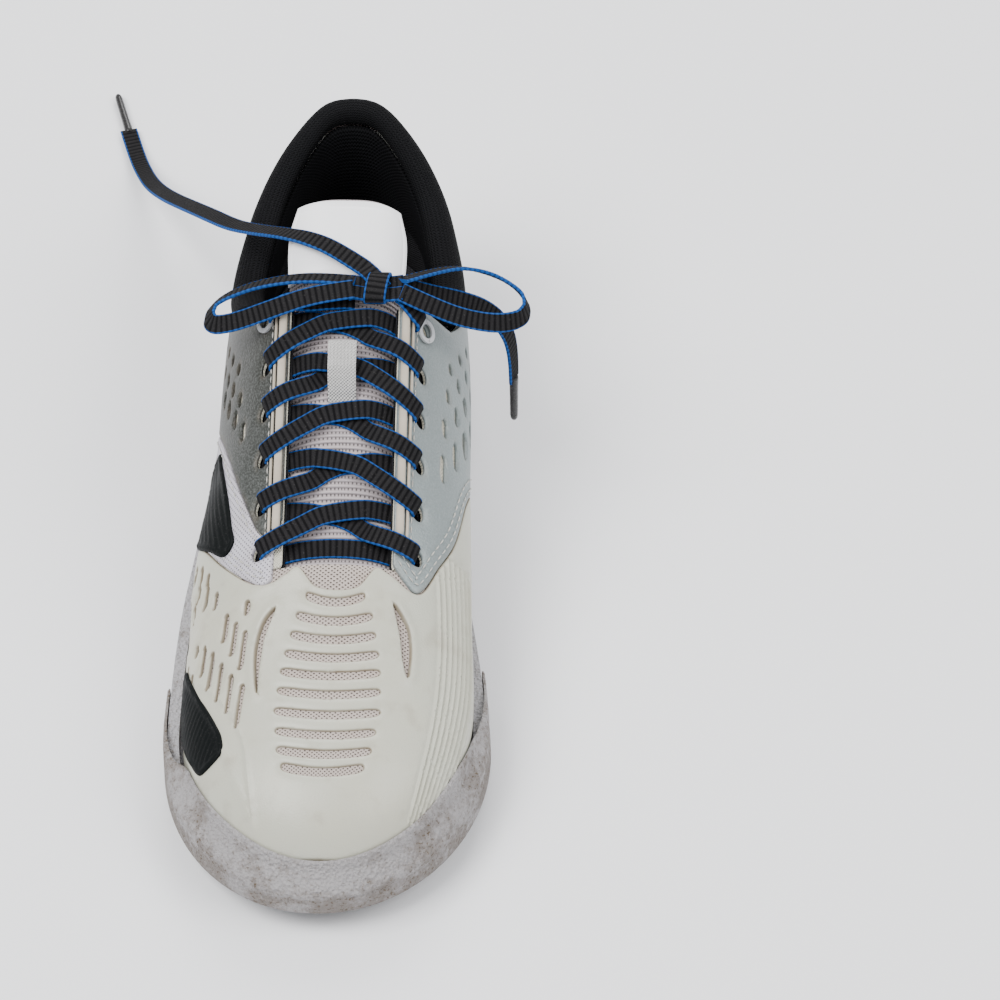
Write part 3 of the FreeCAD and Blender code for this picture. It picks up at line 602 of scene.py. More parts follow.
def smooth(corners, step=1.2, closed=False):
    """The same along a smooth curve through the corners."""
    knots = np.array(corners, float)
    if closed:
        knots = np.concatenate([knots[-1:], knots, knots[:2]])
    else:
        knots = np.concatenate([2 * knots[:1] - knots[1:2], knots, 2 * knots[-1:] - knots[-2:-1]])
    dense = []
    for a, b, c, d in zip(knots[:-3], knots[1:-2], knots[2:-1], knots[3:]):
        t = np.linspace(0, 1, 24, endpoint=False)[:, None]
        dense.append(((2 * b) + (c - a) * t + (2 * a - 5 * b + 4 * c - d) * t ** 2
                      + (3 * b - a - 3 * c + d) * t ** 3) / 2)
    if not closed:
        dense.append(knots[-2:-1])
    dense = np.concatenate(dense)
    if closed:
        dense = np.concatenate([dense, dense[:1]])
    walk = np.concatenate([[0], np.cumsum(np.linalg.norm(np.diff(dense, axis=0), axis=1))])
    at = np.linspace(0, walk[-1], max(3, int(np.ceil(walk[-1] / step))) + 1)
    line = np.stack([np.interp(at, walk, dense[:, 0]), np.interp(at, walk, dense[:, 1])], 1)
    return line[:-1] if closed else line


def capsule(start, end, width):
    """Outline of a slot with round ends."""
    start, end = np.array(start, float), np.array(end, float)
    way = (end - start) / np.linalg.norm(end - start)
    side = np.array([-way[1], way[0]])
    radius = width / 2
    angles = np.radians([-90, -54, -18, 18, 54, 90])
    caps = [end - way * radius + radius * (math.cos(a) * way + math.sin(a) * side) for a in angles]
    caps += [start + way * radius - radius * (math.cos(a) * way + math.sin(a) * side) for a in angles]
    return np.array(caps)


def bowed(g, y, half, width, bow):
    """Outline of a slot that curves up at its ends."""
    t = np.sin(np.linspace(-math.pi / 2, math.pi / 2, 25))
    middle = np.stack([g + half * t, y + bow * t * t], 1)
    taper = (width / 2 * np.sqrt(np.maximum(1 - np.abs(t) ** 14, 0)))[:, None] * np.array([[0, 1.0]])
    upper = (middle + taper)[1:-1][::-1]
    return np.concatenate([middle - taper, upper])


def inside(polygon, at):
    """Which points lie inside a closed outline."""
    x, y = at[:, 0], at[:, 1]
    result = np.zeros(len(at), bool)
    for (ax, ay), (bx, by) in zip(polygon, np.roll(polygon, -1, axis=0)):
        if ay == by:
            continue
        result ^= ((ay > y) != (by > y)) & (x < (bx - ax) * (y - ay) / (by - ay) + ax)
    return result


def signed_area(loop):
    following = np.roll(loop, -1, axis=0)
    return np.sum(loop[:, 0] * following[:, 1] - following[:, 0] * loop[:, 1]) / 2


def ring_inside(loop, hole, distance):
    """The loop moved into the material."""
    tangent = np.roll(loop, -1, axis=0) - np.roll(loop, 1, axis=0)
    normal = np.stack([-tangent[:, 1], tangent[:, 0]], 1)
    normal /= np.maximum(np.linalg.norm(normal, axis=1, keepdims=True), 1e-9)
    sign = np.sign(signed_area(loop)) * (-1 if hole else 1)
    return loop + normal * sign * distance


def near_lookup(loops):
    """Distance to the nearest cut edge, for many points."""
    dense = np.concatenate([trace(np.concatenate([loop, loop[:1]]), 0.35) for loop in loops])
    tree = KDTree(len(dense))
    for i, (x, y) in enumerate(dense):
        tree.insert((x, y, 0), i)
    tree.balance()
    return lambda at: np.array([tree.find((x, y, 0))[2] for x, y in at])


def cut_panel(name, outline, holes, low, high, material, slot, *nodes, relief=None, step=2.4, roll=0.55,
              lines=(), place=skin, body="root"):
    """A panel cut from flat sheet and pulled over the last: closed, with rounded edges and real holes."""
    loops = [outline] + list(holes)
    distance_to = near_lookup(loops)
    inner = []
    for k, loop in enumerate(loops):
        for inset in (roll * 0.3, roll):
            ring = ring_inside(loop, k > 0, inset)
            inner.append(ring[distance_to(ring) > inset * 0.85])
    low_corner, high_corner = outline.min(0), outline.max(0)
    columns = np.arange(low_corner[0], high_corner[0], step)
    rows = np.arange(low_corner[1], high_corner[1], step * 0.87)
    field = np.stack(np.meshgrid(columns, rows, indexing="ij"), -1)
    field[:, 1::2, 0] += step / 2
    field = field.reshape(-1, 2)
    extra = np.concatenate([field] + [np.asarray(line, float) for line in lines])
    extra = extra[inside(outline, extra)]
    for hole in holes:
        extra = extra[~inside(hole, extra)]
    spare = distance_to(extra)
    inner.append(extra[spare > roll * 1.6])
    flat = np.concatenate(loops + inner)
    edges, start = [], 0
    for loop in loops:
        count = len(loop)
        edges += [(start + i, start + (i + 1) % count) for i in range(count)]
        start += count
    found = delaunay_2d_cdt([Vector(p) for p in flat], edges, [], 0, 1e-4)
    flat = np.array([tuple(p) for p in found[0]])
    faces = np.array(found[2])
    centres = flat[faces].mean(1)
    kept = inside(outline, centres)
    for hole in holes:
        kept &= ~inside(hole, centres)
    faces = faces[kept]
    used, faces = np.unique(faces, return_inverse=True)
    faces = faces.reshape(-1, 3)
    flat = flat[used]
    turn_over = np.cross(flat[faces[:, 1]] - flat[faces[:, 0]], flat[faces[:, 2]] - flat[faces[:, 0]]) < 0
    faces[turn_over] = faces[turn_over][:, ::-1]
    distance = distance_to(flat)
    lift = -rolled(distance, roll)
    if relief is not None:
        lift = lift + relief(flat[:, 0], flat[:, 1])
    count = len(flat)
    sides = np.concatenate([faces[:, [0, 1]], faces[:, [1, 2]], faces[:, [2, 0]]])
    forward = {(a, b) for a, b in sides.tolist()}
    walls = [(b, a, a + count, b + count) for a, b in forward if (b, a) not in forward]
    every = faces.tolist() + (faces[:, ::-1] + count).tolist() + sorted(walls)
    places = np.concatenate([place(flat, high + lift), place(flat, low + 0 * lift)])
    return piece(name, places, every, material, slot, *nodes, body=body, flat=np.concatenate([flat, flat]),
                 rim=np.concatenate([distance, 0 * distance]))


def turn_line(stations, low_turn, high_turn, shift=0.0, count=60):
    """Flat points of a seam given as turn and y."""
    turn = np.linspace(low_turn, high_turn, count)
    y = along(stations, turn) + shift
    return np.stack([girth(y, turn), y], 1)


def edge_line(low_y, high_y, turn, count=60):
    """Flat points along the lasted edge of the upper."""
    y = np.linspace(low_y, high_y, count)
    return np.stack([girth(y, turn), y], 1)


def close(*lines):
    """One outline from lines that follow on, at even steps, with their corners kept."""
    joined = []
    for line, after in zip(lines, lines[1:] + lines[:1]):
        joined.append(trace(np.concatenate([line, after[:1]]), 1.4))
    return np.concatenate(joined)


TOE_ROW = TOE_Y - OVERLAY[1] + 1.6
cage_outline = close(edge_line(9 - SEAM_GAP, TOE_ROW, 0.8), edge_line(TOE_ROW, -14 - SEAM_GAP, 179.2),
                     turn_line(CAGE_BACK, 179.2, 0.8, count=160)[1:-1])
cage_holes = [bowed(-0.3, y, half, SLOT_WIDTH, SLOT_BOW) for y, half in zip(SLOT_Y, SLOT_HALF)]
cage_holes.append(smooth([(-20.5, -62), (-24.5, -66), (-26.6, -74), (-26.2, -84), (-24.6, -92), (-24.6, -84),
                          (-23.8, -73), (-21.6, -66)], 1.0, closed=True))
cage_holes.append(smooth([(19.5, -60), (22.5, -63), (25.5, -68), (26.6, -76), (26.0, -85), (24.0, -80),
                          (22.6, -72), (20.8, -65)], 1.0, closed=True))
# Rows of long slots: middle of the first, step to the next, and each one's length.
SLOT_ROWS = [((-54, -66), (4.6, -5.8), (4, 11, 14, 14, 14, 16)),
             ((-40, -64), (4.1, -5.2), (10, 12, 14)),
             ((-60, -70), (4.6, -5.6), (4, 4)),
             ((-31.5, -59.5), (4, -5), (5,)),
             ((-57.5, -44.5), (5.6, -3.6), (6, 9, 6)),
             ((-64.5, -47), (5.4, -3.4), (8, 6)),
             ((-63, -35), (5.4, -3.4), (6, 7, 4)),
             ((-70, -34), (5.0, -3.4), (5, 7)),
             ((-70, -55), (5.4, -3.8), (9,)),
             ((-66, -62), (5.4, -3.8), (6,))]
for first, stride, spans in SLOT_ROWS:
    for i, span in enumerate(spans):
        g, y = first[0] + stride[0] * i, first[1] + stride[1] * i
        cage_holes.append(capsule((g + span * 0.03, y + span / 2), (g - span * 0.03, y - span / 2),
                                  SIDE_SLOT_WIDTH))

# Medial ribs, each a line from the lobe of the quarter to the toe guard.
RIBS, RIB_BOW, RIB_HIGH = 8, 3.5, 0.42
RIB_BACK_Y, RIB_BACK_G, RIB_BACK_PITCH = -37.0, 36, 2.7
RIB_FRONT_Y, RIB_FRONT_G, RIB_FRONT_PITCH = -131.0, 31.5, 1.75
rib_span = np.linspace(0, 1, 70)


def rib_line(k):
    """k counts ribs outwards; halves are the valleys between them."""
    start = np.array([RIB_BACK_G + RIB_BACK_PITCH * k, RIB_BACK_Y])
    end = np.array([RIB_FRONT_G + RIB_FRONT_PITCH * k, RIB_FRONT_Y])
    bow = RIB_BOW * np.sin(rib_span * math.pi)
    return np.stack([mix(start[0], end[0], rib_span) + bow, mix(start[1], end[1], rib_span)], 1)


def rib_height(g, y):
    share = np.clip((RIB_BACK_Y - y) / (RIB_BACK_Y - RIB_FRONT_Y), 0, 1)
    first = mix(RIB_BACK_G, RIB_FRONT_G, share) + RIB_BOW * np.sin(share * math.pi)
    k = (g - first) / mix(RIB_BACK_PITCH, RIB_FRONT_PITCH, share)
    here = ease(-0.9, 0.1, k) * (1 - ease(RIBS - 1.1, RIBS, k)) * (1 - ease(RIB_BACK_Y, RIB_BACK_Y + 7, y))
    return RIB_HIGH * here * np.cos(2 * math.pi * k)


RAISED_LINE = [(-52, -78), (-42, -87), (-34, -96), (-30, -104), (-27, -112), (-25, -123), (-22.5, -137)]
CROSS_BANDS = [[(-25, -53.5), (-36, -56), (-47, -59), (-58, -62), (-70, -66)],
               [(-66, -39), (-55, -50.5), (-46, -63), (-38, -76), (-33, -85)]]


def line_distance(corners, g, y):
    """Distance of flat points from a smooth line through the corners."""
    distance_to = near_lookup([smooth(corners, 0.8)])
    return distance_to(np.stack([np.ravel(g), np.ravel(y)], 1)).reshape(np.shape(g))


def cage_relief(g, y):
    lift = rib_height(g, y)
    lift = lift + 0.55 * np.exp(-(line_distance(RAISED_LINE, g, y) / 0.75) ** 2)
    for corners in CROSS_BANDS:
        lift = lift + 0.30 * (1 - ease(1.5, 3.0, line_distance(corners, g, y)))
    crescents = cage_holes[len(SLOT_Y):len(SLOT_Y) + 2]
    for hole in crescents:
        near = near_lookup([hole])(np.stack([g, y], 1))
        lift = lift + 0.75 * np.exp(-((near - 1.1) / 1.2) ** 2)
    near = near_lookup(cage_holes[:len(SLOT_Y)])(np.stack([g, y], 1))
    return lift - 0.5 * np.exp(-(near / 1.3) ** 2)


def coated(name, clean, shade, dirt, share, gloss):
    """Coated synthetic: smooth film with a faint grain, dirt along its cut edges, scuffs."""
    finish = Finish(name, Coat_Weight=0.15, Coat_Roughness=0.3)
    place = finish.place()
    cloud = finish.noise(place, 0.035, 4.0)
    fine = finish.noise(place, 0.0006, 3.0)
    edge = 1 - finish.rim().step(0.02, 0.55)
    smear = finish.noise(place, 0.009, 6.0).step(0.52, 0.80)
    line = edge * (finish.noise(place, 0.006, 3.0).step(0.20, 0.60) * 0.4 + 0.6)
    dirty = line * share + smear * share * 0.35
    colour = finish.mix(dirty, finish.mix(cloud, shade, clean), dirt)
    scuff = finish.noise(place, 0.0025, 8.0).step(0.66, 0.70)
    return finish.wear(Base_Color=colour, Roughness=dirty * 0.3 + scuff * 0.15 + gloss, height=fine * 0.12)


cage_film = coated("cage_film", tone(0.475, 0.45, 0.35), tone(0.44, 0.455, 0.39), tone(0.16, 0.11, 0.06),
                   0.75, 0.38)
rib_lines = [rib_line(k / 4) for k in range(-3, 4 * RIBS + 1)]
relief_lines = list(rib_lines)
for shift in (-1.2, -.6, 0, .6, 1.2):
    relief_lines.append(smooth(RAISED_LINE, 0.9) + np.array([shift, 0]))
cut_panel("vamp_cage", cage_outline, cage_holes, *OVERLAY, cage_film, "cage", "vamp_cage", relief=cage_relief,
          step=1.7, lines=relief_lines)

# The quarters carry the eyelets. A woven cream backing lies under each, and the outer skin is a
# pewter coated synthetic with staggered long slots that grow towards the toe. The medial one ends
# in a rounded lobe with two rows of stitches; six punched eyelets run up each side of the throat.
THROAT_X, THROAT_HALF, EYELET_HALF = 3.5, 19.3, 27.0
EYELET_Y, EYELET_PITCH, EYELETS, EYELET_HOLE = -42.0, 14.6, 6, 5.2
THROAT_TOP, QUARTER_BACK, COLLAR_END, ROLL = 34.0, 72.0, 113.0, 9.0
TOP_LINE = [(0, 104), (16, 103), (32, 95), (50, 86), (72, 81), (90, 81), (104, 87), (116, 95)]
BAND_TOP = [(108, -32), (119, -37), (130, -24), (145, -4), (158, 12), (180, 35)]


def throat_turn(y, offset, out):
    """The turn at which a layer crosses a distance from the throat's centre line."""
    y, offset, out = np.broadcast_arrays(np.asarray(y, float), offset, out)
    low = np.full(y.shape, 15.0)
    high = np.full(y.shape, 165.0)
    for _ in range(30):
        middle = (low + high) / 2
        beyond = last_point(y, middle, out)[..., 0] > THROAT_X + offset
        low = np.where(beyond, middle, low)
        high = np.where(beyond, high, middle)
    return low


def throat_point(offset, y, out):
    return last_point(y, throat_turn(y, offset, out), out)


HEEL_QUARTER = 1.4 * HEEL_ROUND


def seam_distance(y):
    """Distance along the heel's wall from the back seam to a place on the side."""
    return HEEL_QUARTER + HEEL_Y - HEEL_ROUND - y


def top_line(s):
    return along(TOP_LINE, np.abs(s))


def under_roll(s):
    return top_line(s) - ROLL - 0.5


def height_turn(y, z, out):
    rise = np.clip((z - along(FEATHER, y)) / crown(y, out), 0.0, 1.0)
    return np.degrees(np.arcsin(rise ** (along(SQUARENESS, y) / 2)))


def quarter_top(y, side):
    """Turn of a quarter's top edge, from its own side's edge: the throat, then under the collar roll."""
    edge = throat_turn(np.minimum(y, THROAT_TOP), side * THROAT_HALF, OVERLAY[1])
    free = edge if side > 0 else 180 - edge
    roll_front = seam_distance(COLLAR_END) - 1.0
    behind = np.maximum(y, roll_front)
    under = height_turn(behind, under_roll(seam_distance(behind)), OVERLAY[1])
    return mix(free, under, ease(THROAT_TOP, roll_front, y))


def eyelet_flat(side, k):
    y = EYELET_Y + EYELET_PITCH * k
    return np.array([float(girth(y, throat_turn(y, side * EYELET_HALF, OVERLAY[1]))), y])


def disc(centre, radius, count=20):
    angle = np.linspace(0, 2 * math.pi, count, endpoint=False)
    return centre + radius * np.stack([np.cos(angle), np.sin(angle)], 1)


def quarter_outline(side, seam, low_turn=0.8):
    """Outline of a quarter: front seam upwards, throat and top edge backwards, back seam, lasted edge."""
    real = (lambda turn: turn) if side > 0 else (lambda turn: 180 - turn)
    front_turn = np.linspace(low_turn, 80, 400)
    front_y = seam(real(front_turn))
    below = front_turn < quarter_top(front_y, side) - 0.3
    last = int(np.argmin(below)) if not below.all() else len(front_turn)
    front = np.stack([girth(front_y, real(front_turn)), front_y], 1)[:last:3]
    top_y = np.linspace(front_y[last - 1] + 1.0, QUARTER_BACK, 90)
    top = np.stack([girth(top_y, real(quarter_top(top_y, side))), top_y], 1)
    back_turn = np.linspace(float(quarter_top(QUARTER_BACK, side)), low_turn, 40)
    back = np.stack([girth(QUARTER_BACK, real(back_turn)), 0 * back_turn + QUARTER_BACK], 1)
    low_y = np.linspace(QUARTER_BACK, front_y[0], 30)
    low = np.stack([girth(low_y, real(0 * low_y + low_turn)), low_y], 1)
    return close(front, top, back[1:], low[1:-1])


def no_seam(turn):
    return 0 * turn + MESH_BACK + SEAM_GAP


def medial_seam(turn):
    return along(MEDIAL_SEAM, turn)


def band_seam(turn):
    return along(BAND_TOP, turn) + SEAM_GAP


backing_cloth = textile("backing_cloth", tone(0.90, 0.87, 0.74), tone(0.72, 0.68, 0.55), 0.0011)
for side, name in ((1, "medial"), (-1, "lateral")):
    punched = [disc(eyelet_flat(side, k), EYELET_HOLE / 2) for k in range(EYELETS)]
    outline = quarter_outline(side, no_seam)
    cut_panel("lining_" + name, outline, punched, *LINING, lining_cloth, "lining", "quarter_lining", step=3.2,
              roll=0.2)
    cut_panel("backing_" + name, outline, punched, *MESH, backing_cloth, "backing", "quarter_backing",
              step=3.0, roll=0.2)

SLOT_LENGTHS, DASH_WIDTH = (9.5, 6.4, 4.8, 3.8), 2.5


def slot_columns(side, first, stride, climb, columns):
    """Columns of long slots that lean back and get shorter as they climb."""
    cuts = []
    for column in range(columns):
        for step_up, length in zip(climb, SLOT_LENGTHS):
            g = first[0] + stride[0] * column + step_up[0]
            y = first[1] + stride[1] * column + step_up[1]
            lean = side * length * 0.07
            cuts.append(capsule((g - lean, y - length / 2), (g + lean, y + length / 2), DASH_WIDTH))
    return cuts


def pewter(name, lit_tone, dark):
    """Metallic coated synthetic, glittering, browner at its edges; pale where lit on the medial side, with
    painted shade darkening the lateral side and, a little, the heel.
    """
    finish = Finish(name, Metallic=0.35, Specular_IOR_Level=0.25)
    place = finish.place()
    x, y = finish.axes(place)[:2]
    glitter = finish.noise(place, 0.0007, 2.0)
    cloud = finish.noise(place, 0.03, 4.0)
    # Painted shade: the lateral side, and a little the heel, take the dark tone, which is the same pewter in
    # shade.
    lateral = 1 - (x + cloud * 0.02).step(-0.010, 0.025)
    heel_shade = (y + cloud * 0.03).step(-0.02, 0.07)
    base = finish.mix(lateral * 0.90 + heel_shade * 0.10, lit_tone, dark)
    edge = 1 - finish.rim().step(0.1, 2.4)
    dirty = edge * finish.noise(place, 0.005, 5.0).step(0.35, 0.65) * 0.12
    sparkle = finish.mix(glitter.step(0.35, 0.75) * 0.10, base, tone(0.65, 0.67, 0.66))
    colour = finish.mix(dirty, sparkle, tone(0.30, 0.22, 0.15))
    return finish.wear(Base_Color=colour, Roughness=glitter * 0.2 + dirty * 0.2 + 0.33, height=glitter * 0.22)


# The second tone is the same pewter in painted shade; it colours the lateral side and part of the heel.
quarter_skin = pewter("quarter_skin", tone(0.23, 0.265, 0.265), tone(0.026, 0.026, 0.020))
medial_slots = slot_columns(1, (41.5, -8.0), (8.6, 8.5), ((0, 0), (2.1, 14), (5.1, 26), (7.8, 36.5)), 4)
lateral_slots = slot_columns(-1, (-38.5, -15.0), (-7.0, 7.5), ((0, 0), (-4, 16.5), (-8, 29), (-11, 41)), 4)


def dished(centres):
    """Relief: the skin sinks a little round each punched eyelet."""
    def relief(g, y):
        lift = 0 * g
        for centre in centres:
            far = np.hypot(g - centre[0], y - centre[1])
            lift = lift - 0.35 * np.exp(-((far - 2.6) / 1.5) ** 2)
        return lift
    return relief


for side, name, seam, slots in ((1, "medial", medial_seam, medial_slots),
                                (-1, "lateral", band_seam, lateral_slots)):
    centres = [eyelet_flat(side, k) for k in range(EYELETS)]
    outline = quarter_outline(side, seam)
    if side < 0:
        centres = centres[1:]
    punched = [disc(centre, EYELET_HOLE / 2) for centre in centres]
    fits = [cut for cut in slots if inside(outline, cut).all()
            and near_lookup([outline])(cut).min() > 2.5]
    cut_panel("quarter_" + name, outline, punched + fits, *OVERLAY, quarter_skin, "quarter",
              "quarter_" + name, relief=dished(centres), step=2.6)

# The lateral band is a pale lavender synthetic between the cage and the quarter, pricked all over
# and sewn down along both edges. It carries the lowest eyelet of its side.
BAND_RIDGE_TURN = 114.0
outer = turn_line(LATERAL_SEAM, 179.2, BAND_RIDGE_TURN, count=90)
inner = turn_line(BAND_TOP, BAND_RIDGE_TURN, 179.2, count=90)
band_outline = close(outer, inner)
first_eyelet = disc(eyelet_flat(-1, 0), EYELET_HOLE / 2)


def pricked(name, clean, dirt, pitch, hole):
    """Smooth synthetic pricked with rows of fine holes."""
    finish = Finish(name, Coat_Weight=0.1)
    place = finish.place()
    x, y = finish.axes(finish.flat())[:2]
    wave = (x * (2 * math.pi / pitch)).sum("COSINE") * (y * (2 * math.pi / pitch)).sum("COSINE")
    holes = wave.step(1 - hole, 1.0)
    edge = 1 - finish.rim().step(0.2, 2.0)
    smear = finish.noise(place, 0.007, 6.0).step(0.45, 0.75)
    surface = finish.mix(edge * 0.25 + smear * 0.30, clean, dirt)
    colour = finish.mix(holes * 0.75, surface, tone(0.25, 0.22, 0.24))
    return finish.wear(Base_Color=colour, Roughness=smear * 0.2 + 0.45, height=1 - holes)


band_skin = pricked("band_skin", tone(0.50, 0.48, 0.53), tone(0.30, 0.26, 0.25), 0.0017, 0.45)
cut_panel("lateral_band", band_outline, [first_eyelet], *OVERLAY, band_skin, "band", "lateral_band", step=2.0)

# Two black film windows are welded on the lateral side, each with a raised edge and fine ribs: one on
# the cage at the forefoot, one on the band at the waist.
FILM = (4.0, 4.5)


def window_outline(low, high, first, last):
    """Outline between two turn lines of a window, with its corners rounded."""
    y = np.linspace(first, last, 16)
    low_side = np.stack([girth(y, along(low, y)), y], 1)
    high_side = np.stack([girth(y, along(high, y)), y], 1)
    return smooth(np.concatenate([low_side, high_side[::-1]])[::2], 1.0, closed=True)


def window_relief(outline, slope):
    distance_to = near_lookup([outline])

    def relief(g, y):
        rim = distance_to(np.stack([g, y], 1))
        edge = 0.35 * np.exp(-((rim - 1.0) / 0.5) ** 2)
        ribs = 0.14 * np.cos(2 * math.pi * (g + slope * y) / 2.6) * ease(2.0, 3.0, rim)
        return edge + ribs
    return relief


film = Finish("black_film", Specular_IOR_Level=0.06)
film_place = film.place()
film_dust = film.noise(film_place, 0.0012, 4.0).step(0.58, 0.72)
film_scuff = film.noise(film_place, 0.012, 5.0)
film.wear(Base_Color=film.mix(film_dust * 0.04, tone(0.004, 0.005, 0.005), tone(0.22, 0.21, 0.20)),
          Roughness=film_scuff * 0.25 + 0.35, height=film_dust * 0.2)
for name, low, high, first, last, slope in (
        ("midfoot_window", [(-38, 138), (-20, 164), (4, 162)], [(-38, 132), (-20, 139), (4, 154)],
         -38, 4, 0.5),
        ("forefoot_window", [(-114, 154), (-105, 162), (-90, 168), (-70, 165)],
         [(-114, 142), (-108, 135), (-92, 142), (-70, 160)], -114, -70, -0.6)):
    outline = window_outline(low, high, first, last)
    cut_panel(name, outline, [], *FILM, film.material, "window", name, relief=window_relief(outline, slope),
              step=0.9, roll=0.4)

# Cream piping binds each edge of the throat: a broad folded strip on the edge and a thin welt cord
# beside it, both sewn through the quarter.


def tube_along(centres, radius, sides=8, squash=1.0, up=None):
    """Points and faces of a closed round rod along a line of centres, millimetres."""
    tangent = np.gradient(centres, axis=0)
    tangent /= np.linalg.norm(tangent, axis=1, keepdims=True)
    across = np.cross(tangent, up)
    across /= np.linalg.norm(across, axis=1, keepdims=True)
    over = np.cross(across, tangent)
    count = len(centres)
    ends = np.minimum(np.arange(count), np.arange(count)[::-1]) / 2.0
    size = radius * np.sqrt(np.clip(ends, 0.08, 1.0))
    angle = np.linspace(0, 2 * math.pi, sides, endpoint=False)
    ring = (across[:, None] * np.cos(angle)[None, :, None]
            + over[:, None] * np.sin(angle)[None, :, None] * squash) * size[:, None, None]
    places = (centres[:, None] + ring).reshape(-1, 3)
    faces = []
    for i in range(count - 1):
        for j in range(sides):
            k = (j + 1) % sides
            faces.append((i * sides + j, i * sides + k, (i + 1) * sides + k, (i + 1) * sides + j))
    faces.append(tuple(range(sides))[::-1])
    faces.append(tuple(range((count - 1) * sides, count * sides)))
    return places, faces


def joined(parts):
    """Several meshes as one list of points and faces."""
    places, faces, start = [], [], 0
    for some, more in parts:
        places.append(some)
        faces += [tuple(i + start for i in face) for face in more]
        start += len(some)
    return np.concatenate(places), faces


piping_cloth = textile("piping_cloth", tone(0.58, 0.54, 0.45), tone(0.36, 0.30, 0.23), 0.0008)
STRIP = (1.7, 1.35, 0.5)
WELT = (4.1, 0.55, 0.9)
piping_y = np.linspace(EYELET_Y + 4, THROAT_TOP - 1, 90)
for side, name in ((1, "medial"), (-1, "lateral")):
    rods = []
    for offset, radius, squash in (STRIP, WELT):
        line = throat_point(side * (THROAT_HALF + offset), piping_y, 4.0 + radius * squash)
        up = line - throat_point(side * (THROAT_HALF + offset), piping_y, 1.0)
        rods.append(tube_along(line, radius, 12, squash, up))
    places, faces = joined(rods)
    piece("throat_piping_" + name, places, faces, piping_cloth, "piping", "throat_piping_" + name)

# Seams are sewn with a pale twisted thread: two rows round the medial lobe, three along the band and
# one down each piping. The heel wrap, further on, has two of its own.
THREAD = 0.28
STITCH, STITCH_GAP = 2.3, 0.9


def walk(line, step):
    """Points of a line of places at even steps."""
    far = np.concatenate([[0], np.cumsum(np.linalg.norm(np.diff(line, axis=0), axis=1))])
    at = np.arange(0, far[-1], step)
    return np.stack([np.interp(at, far, line[:, i]) for i in range(line.shape[1])], 1)


def stitch_row(line, up):
    """Closed stitches along a line of places; up points out of the panel."""
    starts = walk(line, STITCH + STITCH_GAP)
    stitches = []
    for a, b in zip(starts[:-1], starts[1:]):
        end = a + (b - a) * STITCH / (STITCH + STITCH_GAP)
        k = int(np.argmin(np.linalg.norm(line - a, axis=1)))
        rise = up[k] / np.linalg.norm(up[k])
        centres = np.array([a, a + (end - a) * 0.2 + rise * 0.12, (a + end) / 2 + rise * 0.2,
                            a + (end - a) * 0.8 + rise * 0.12, end])
        stitches.append(tube_along(centres, THREAD, 6, 0.9, np.repeat(rise[None], 5, 0)))
    return joined(stitches)


def sew(name, slot, rows):
    places, faces = joined([stitch_row(line, up) for line, up in rows])
    return piece(name, places, faces, thread, slot)


def on_skin(flat, out):
    """A line on a panel and the directions out of it."""
    return skin(flat, out), skin(flat, out + 1) - skin(flat, out)


def beside(flat, distance):
    """A flat line moved sideways, to its left."""
    tangent = np.gradient(flat, axis=0)
    normal = np.stack([-tangent[:, 1], tangent[:, 0]], 1)
    return flat + distance * normal / np.linalg.norm(normal, axis=1, keepdims=True)


twist = Finish("thread", Roughness=0.6, Sheen_Weight=0.2)
strands = twist.noise(twist.place(), 0.0005, 2.0)
thread = twist.wear(Base_Color=twist.mix(strands, tone(0.42, 0.40, 0.36), tone(0.72, 0.70, 0.64)),
                    height=strands)
lobe = turn_line(MEDIAL_SEAM, 3, 71, count=200)
band_low = turn_line(LATERAL_SEAM, 116, 176, count=200)
band_high = turn_line(BAND_TOP, 118, 174, count=200)
SEAT = OVERLAY[1] + 0.12
rows = [on_skin(beside(lobe, -2.0), SEAT), on_skin(beside(lobe, -4.4), SEAT),
        on_skin(beside(band_low, -2.0), SEAT), on_skin(beside(band_low, -4.0), SEAT),
        on_skin(beside(band_high, 1.8), SEAT)]
for side in (1, -1):
    line = throat_point(side * (THROAT_HALF + 5.4), piping_y, SEAT)
    rows.append((line, line - throat_point(side * (THROAT_HALF + 5.4), piping_y, 1.0)))
sew("upper_stitches", "quarter", rows)

# Round the heel: a textile lining, a stiff moulded counter, a pale pinkish mesh that shows as a band
# under the collar, and the pewter wrap that carries on from the quarters.
def heel_point(s, z, out):
    """Points of a layer round the heel: s along the wall from the back seam, medial side positive."""
    side = np.where(s >= 0, 1, -1)
    far = np.abs(s)
    angle = np.clip(far / HEEL_QUARTER, 0, 1) * math.pi / 2
    bend = HEEL_Y - HEEL_ROUND + (HEEL_ROUND + out) * np.maximum(np.cos(angle), 0) ** (2 / 2.2)
    y = np.where(far < HEEL_QUARTER, bend, HEEL_Y - HEEL_ROUND - (far - HEEL_QUARTER))
    power = along(SQUARENESS, y)
    rise = np.clip((z - along(FEATHER, y)) / crown(y, out), 0.0, 1.0)
    x = side * half_width(y, out, side) * swell(y, rise, side) * (1 - rise ** power) ** (1 / power)
    return points(x + along(RIDGE_X, y) * rise, lean_back(y, z), z)


def rear_layer(low, high, end):
    def place(u, v, out):
        s = mix(-end, end, u)
        return heel_point(s, mix(low(s), high(s), v), out)
    return place


REAR_END = seam_distance(QUARTER_BACK + 1.5)
COLLAR_LOW = 50.0


def lasted_edge(s):
    return 0 * s + float(along(FEATHER, 100)) + 0.1


def counter_top(s):
    return 66 - 16 * ease(40, REAR_END, np.abs(s))


def wrap_top(s):
    return under_roll(s) - mix(3, 14, ease(0, 45, np.abs(s)))


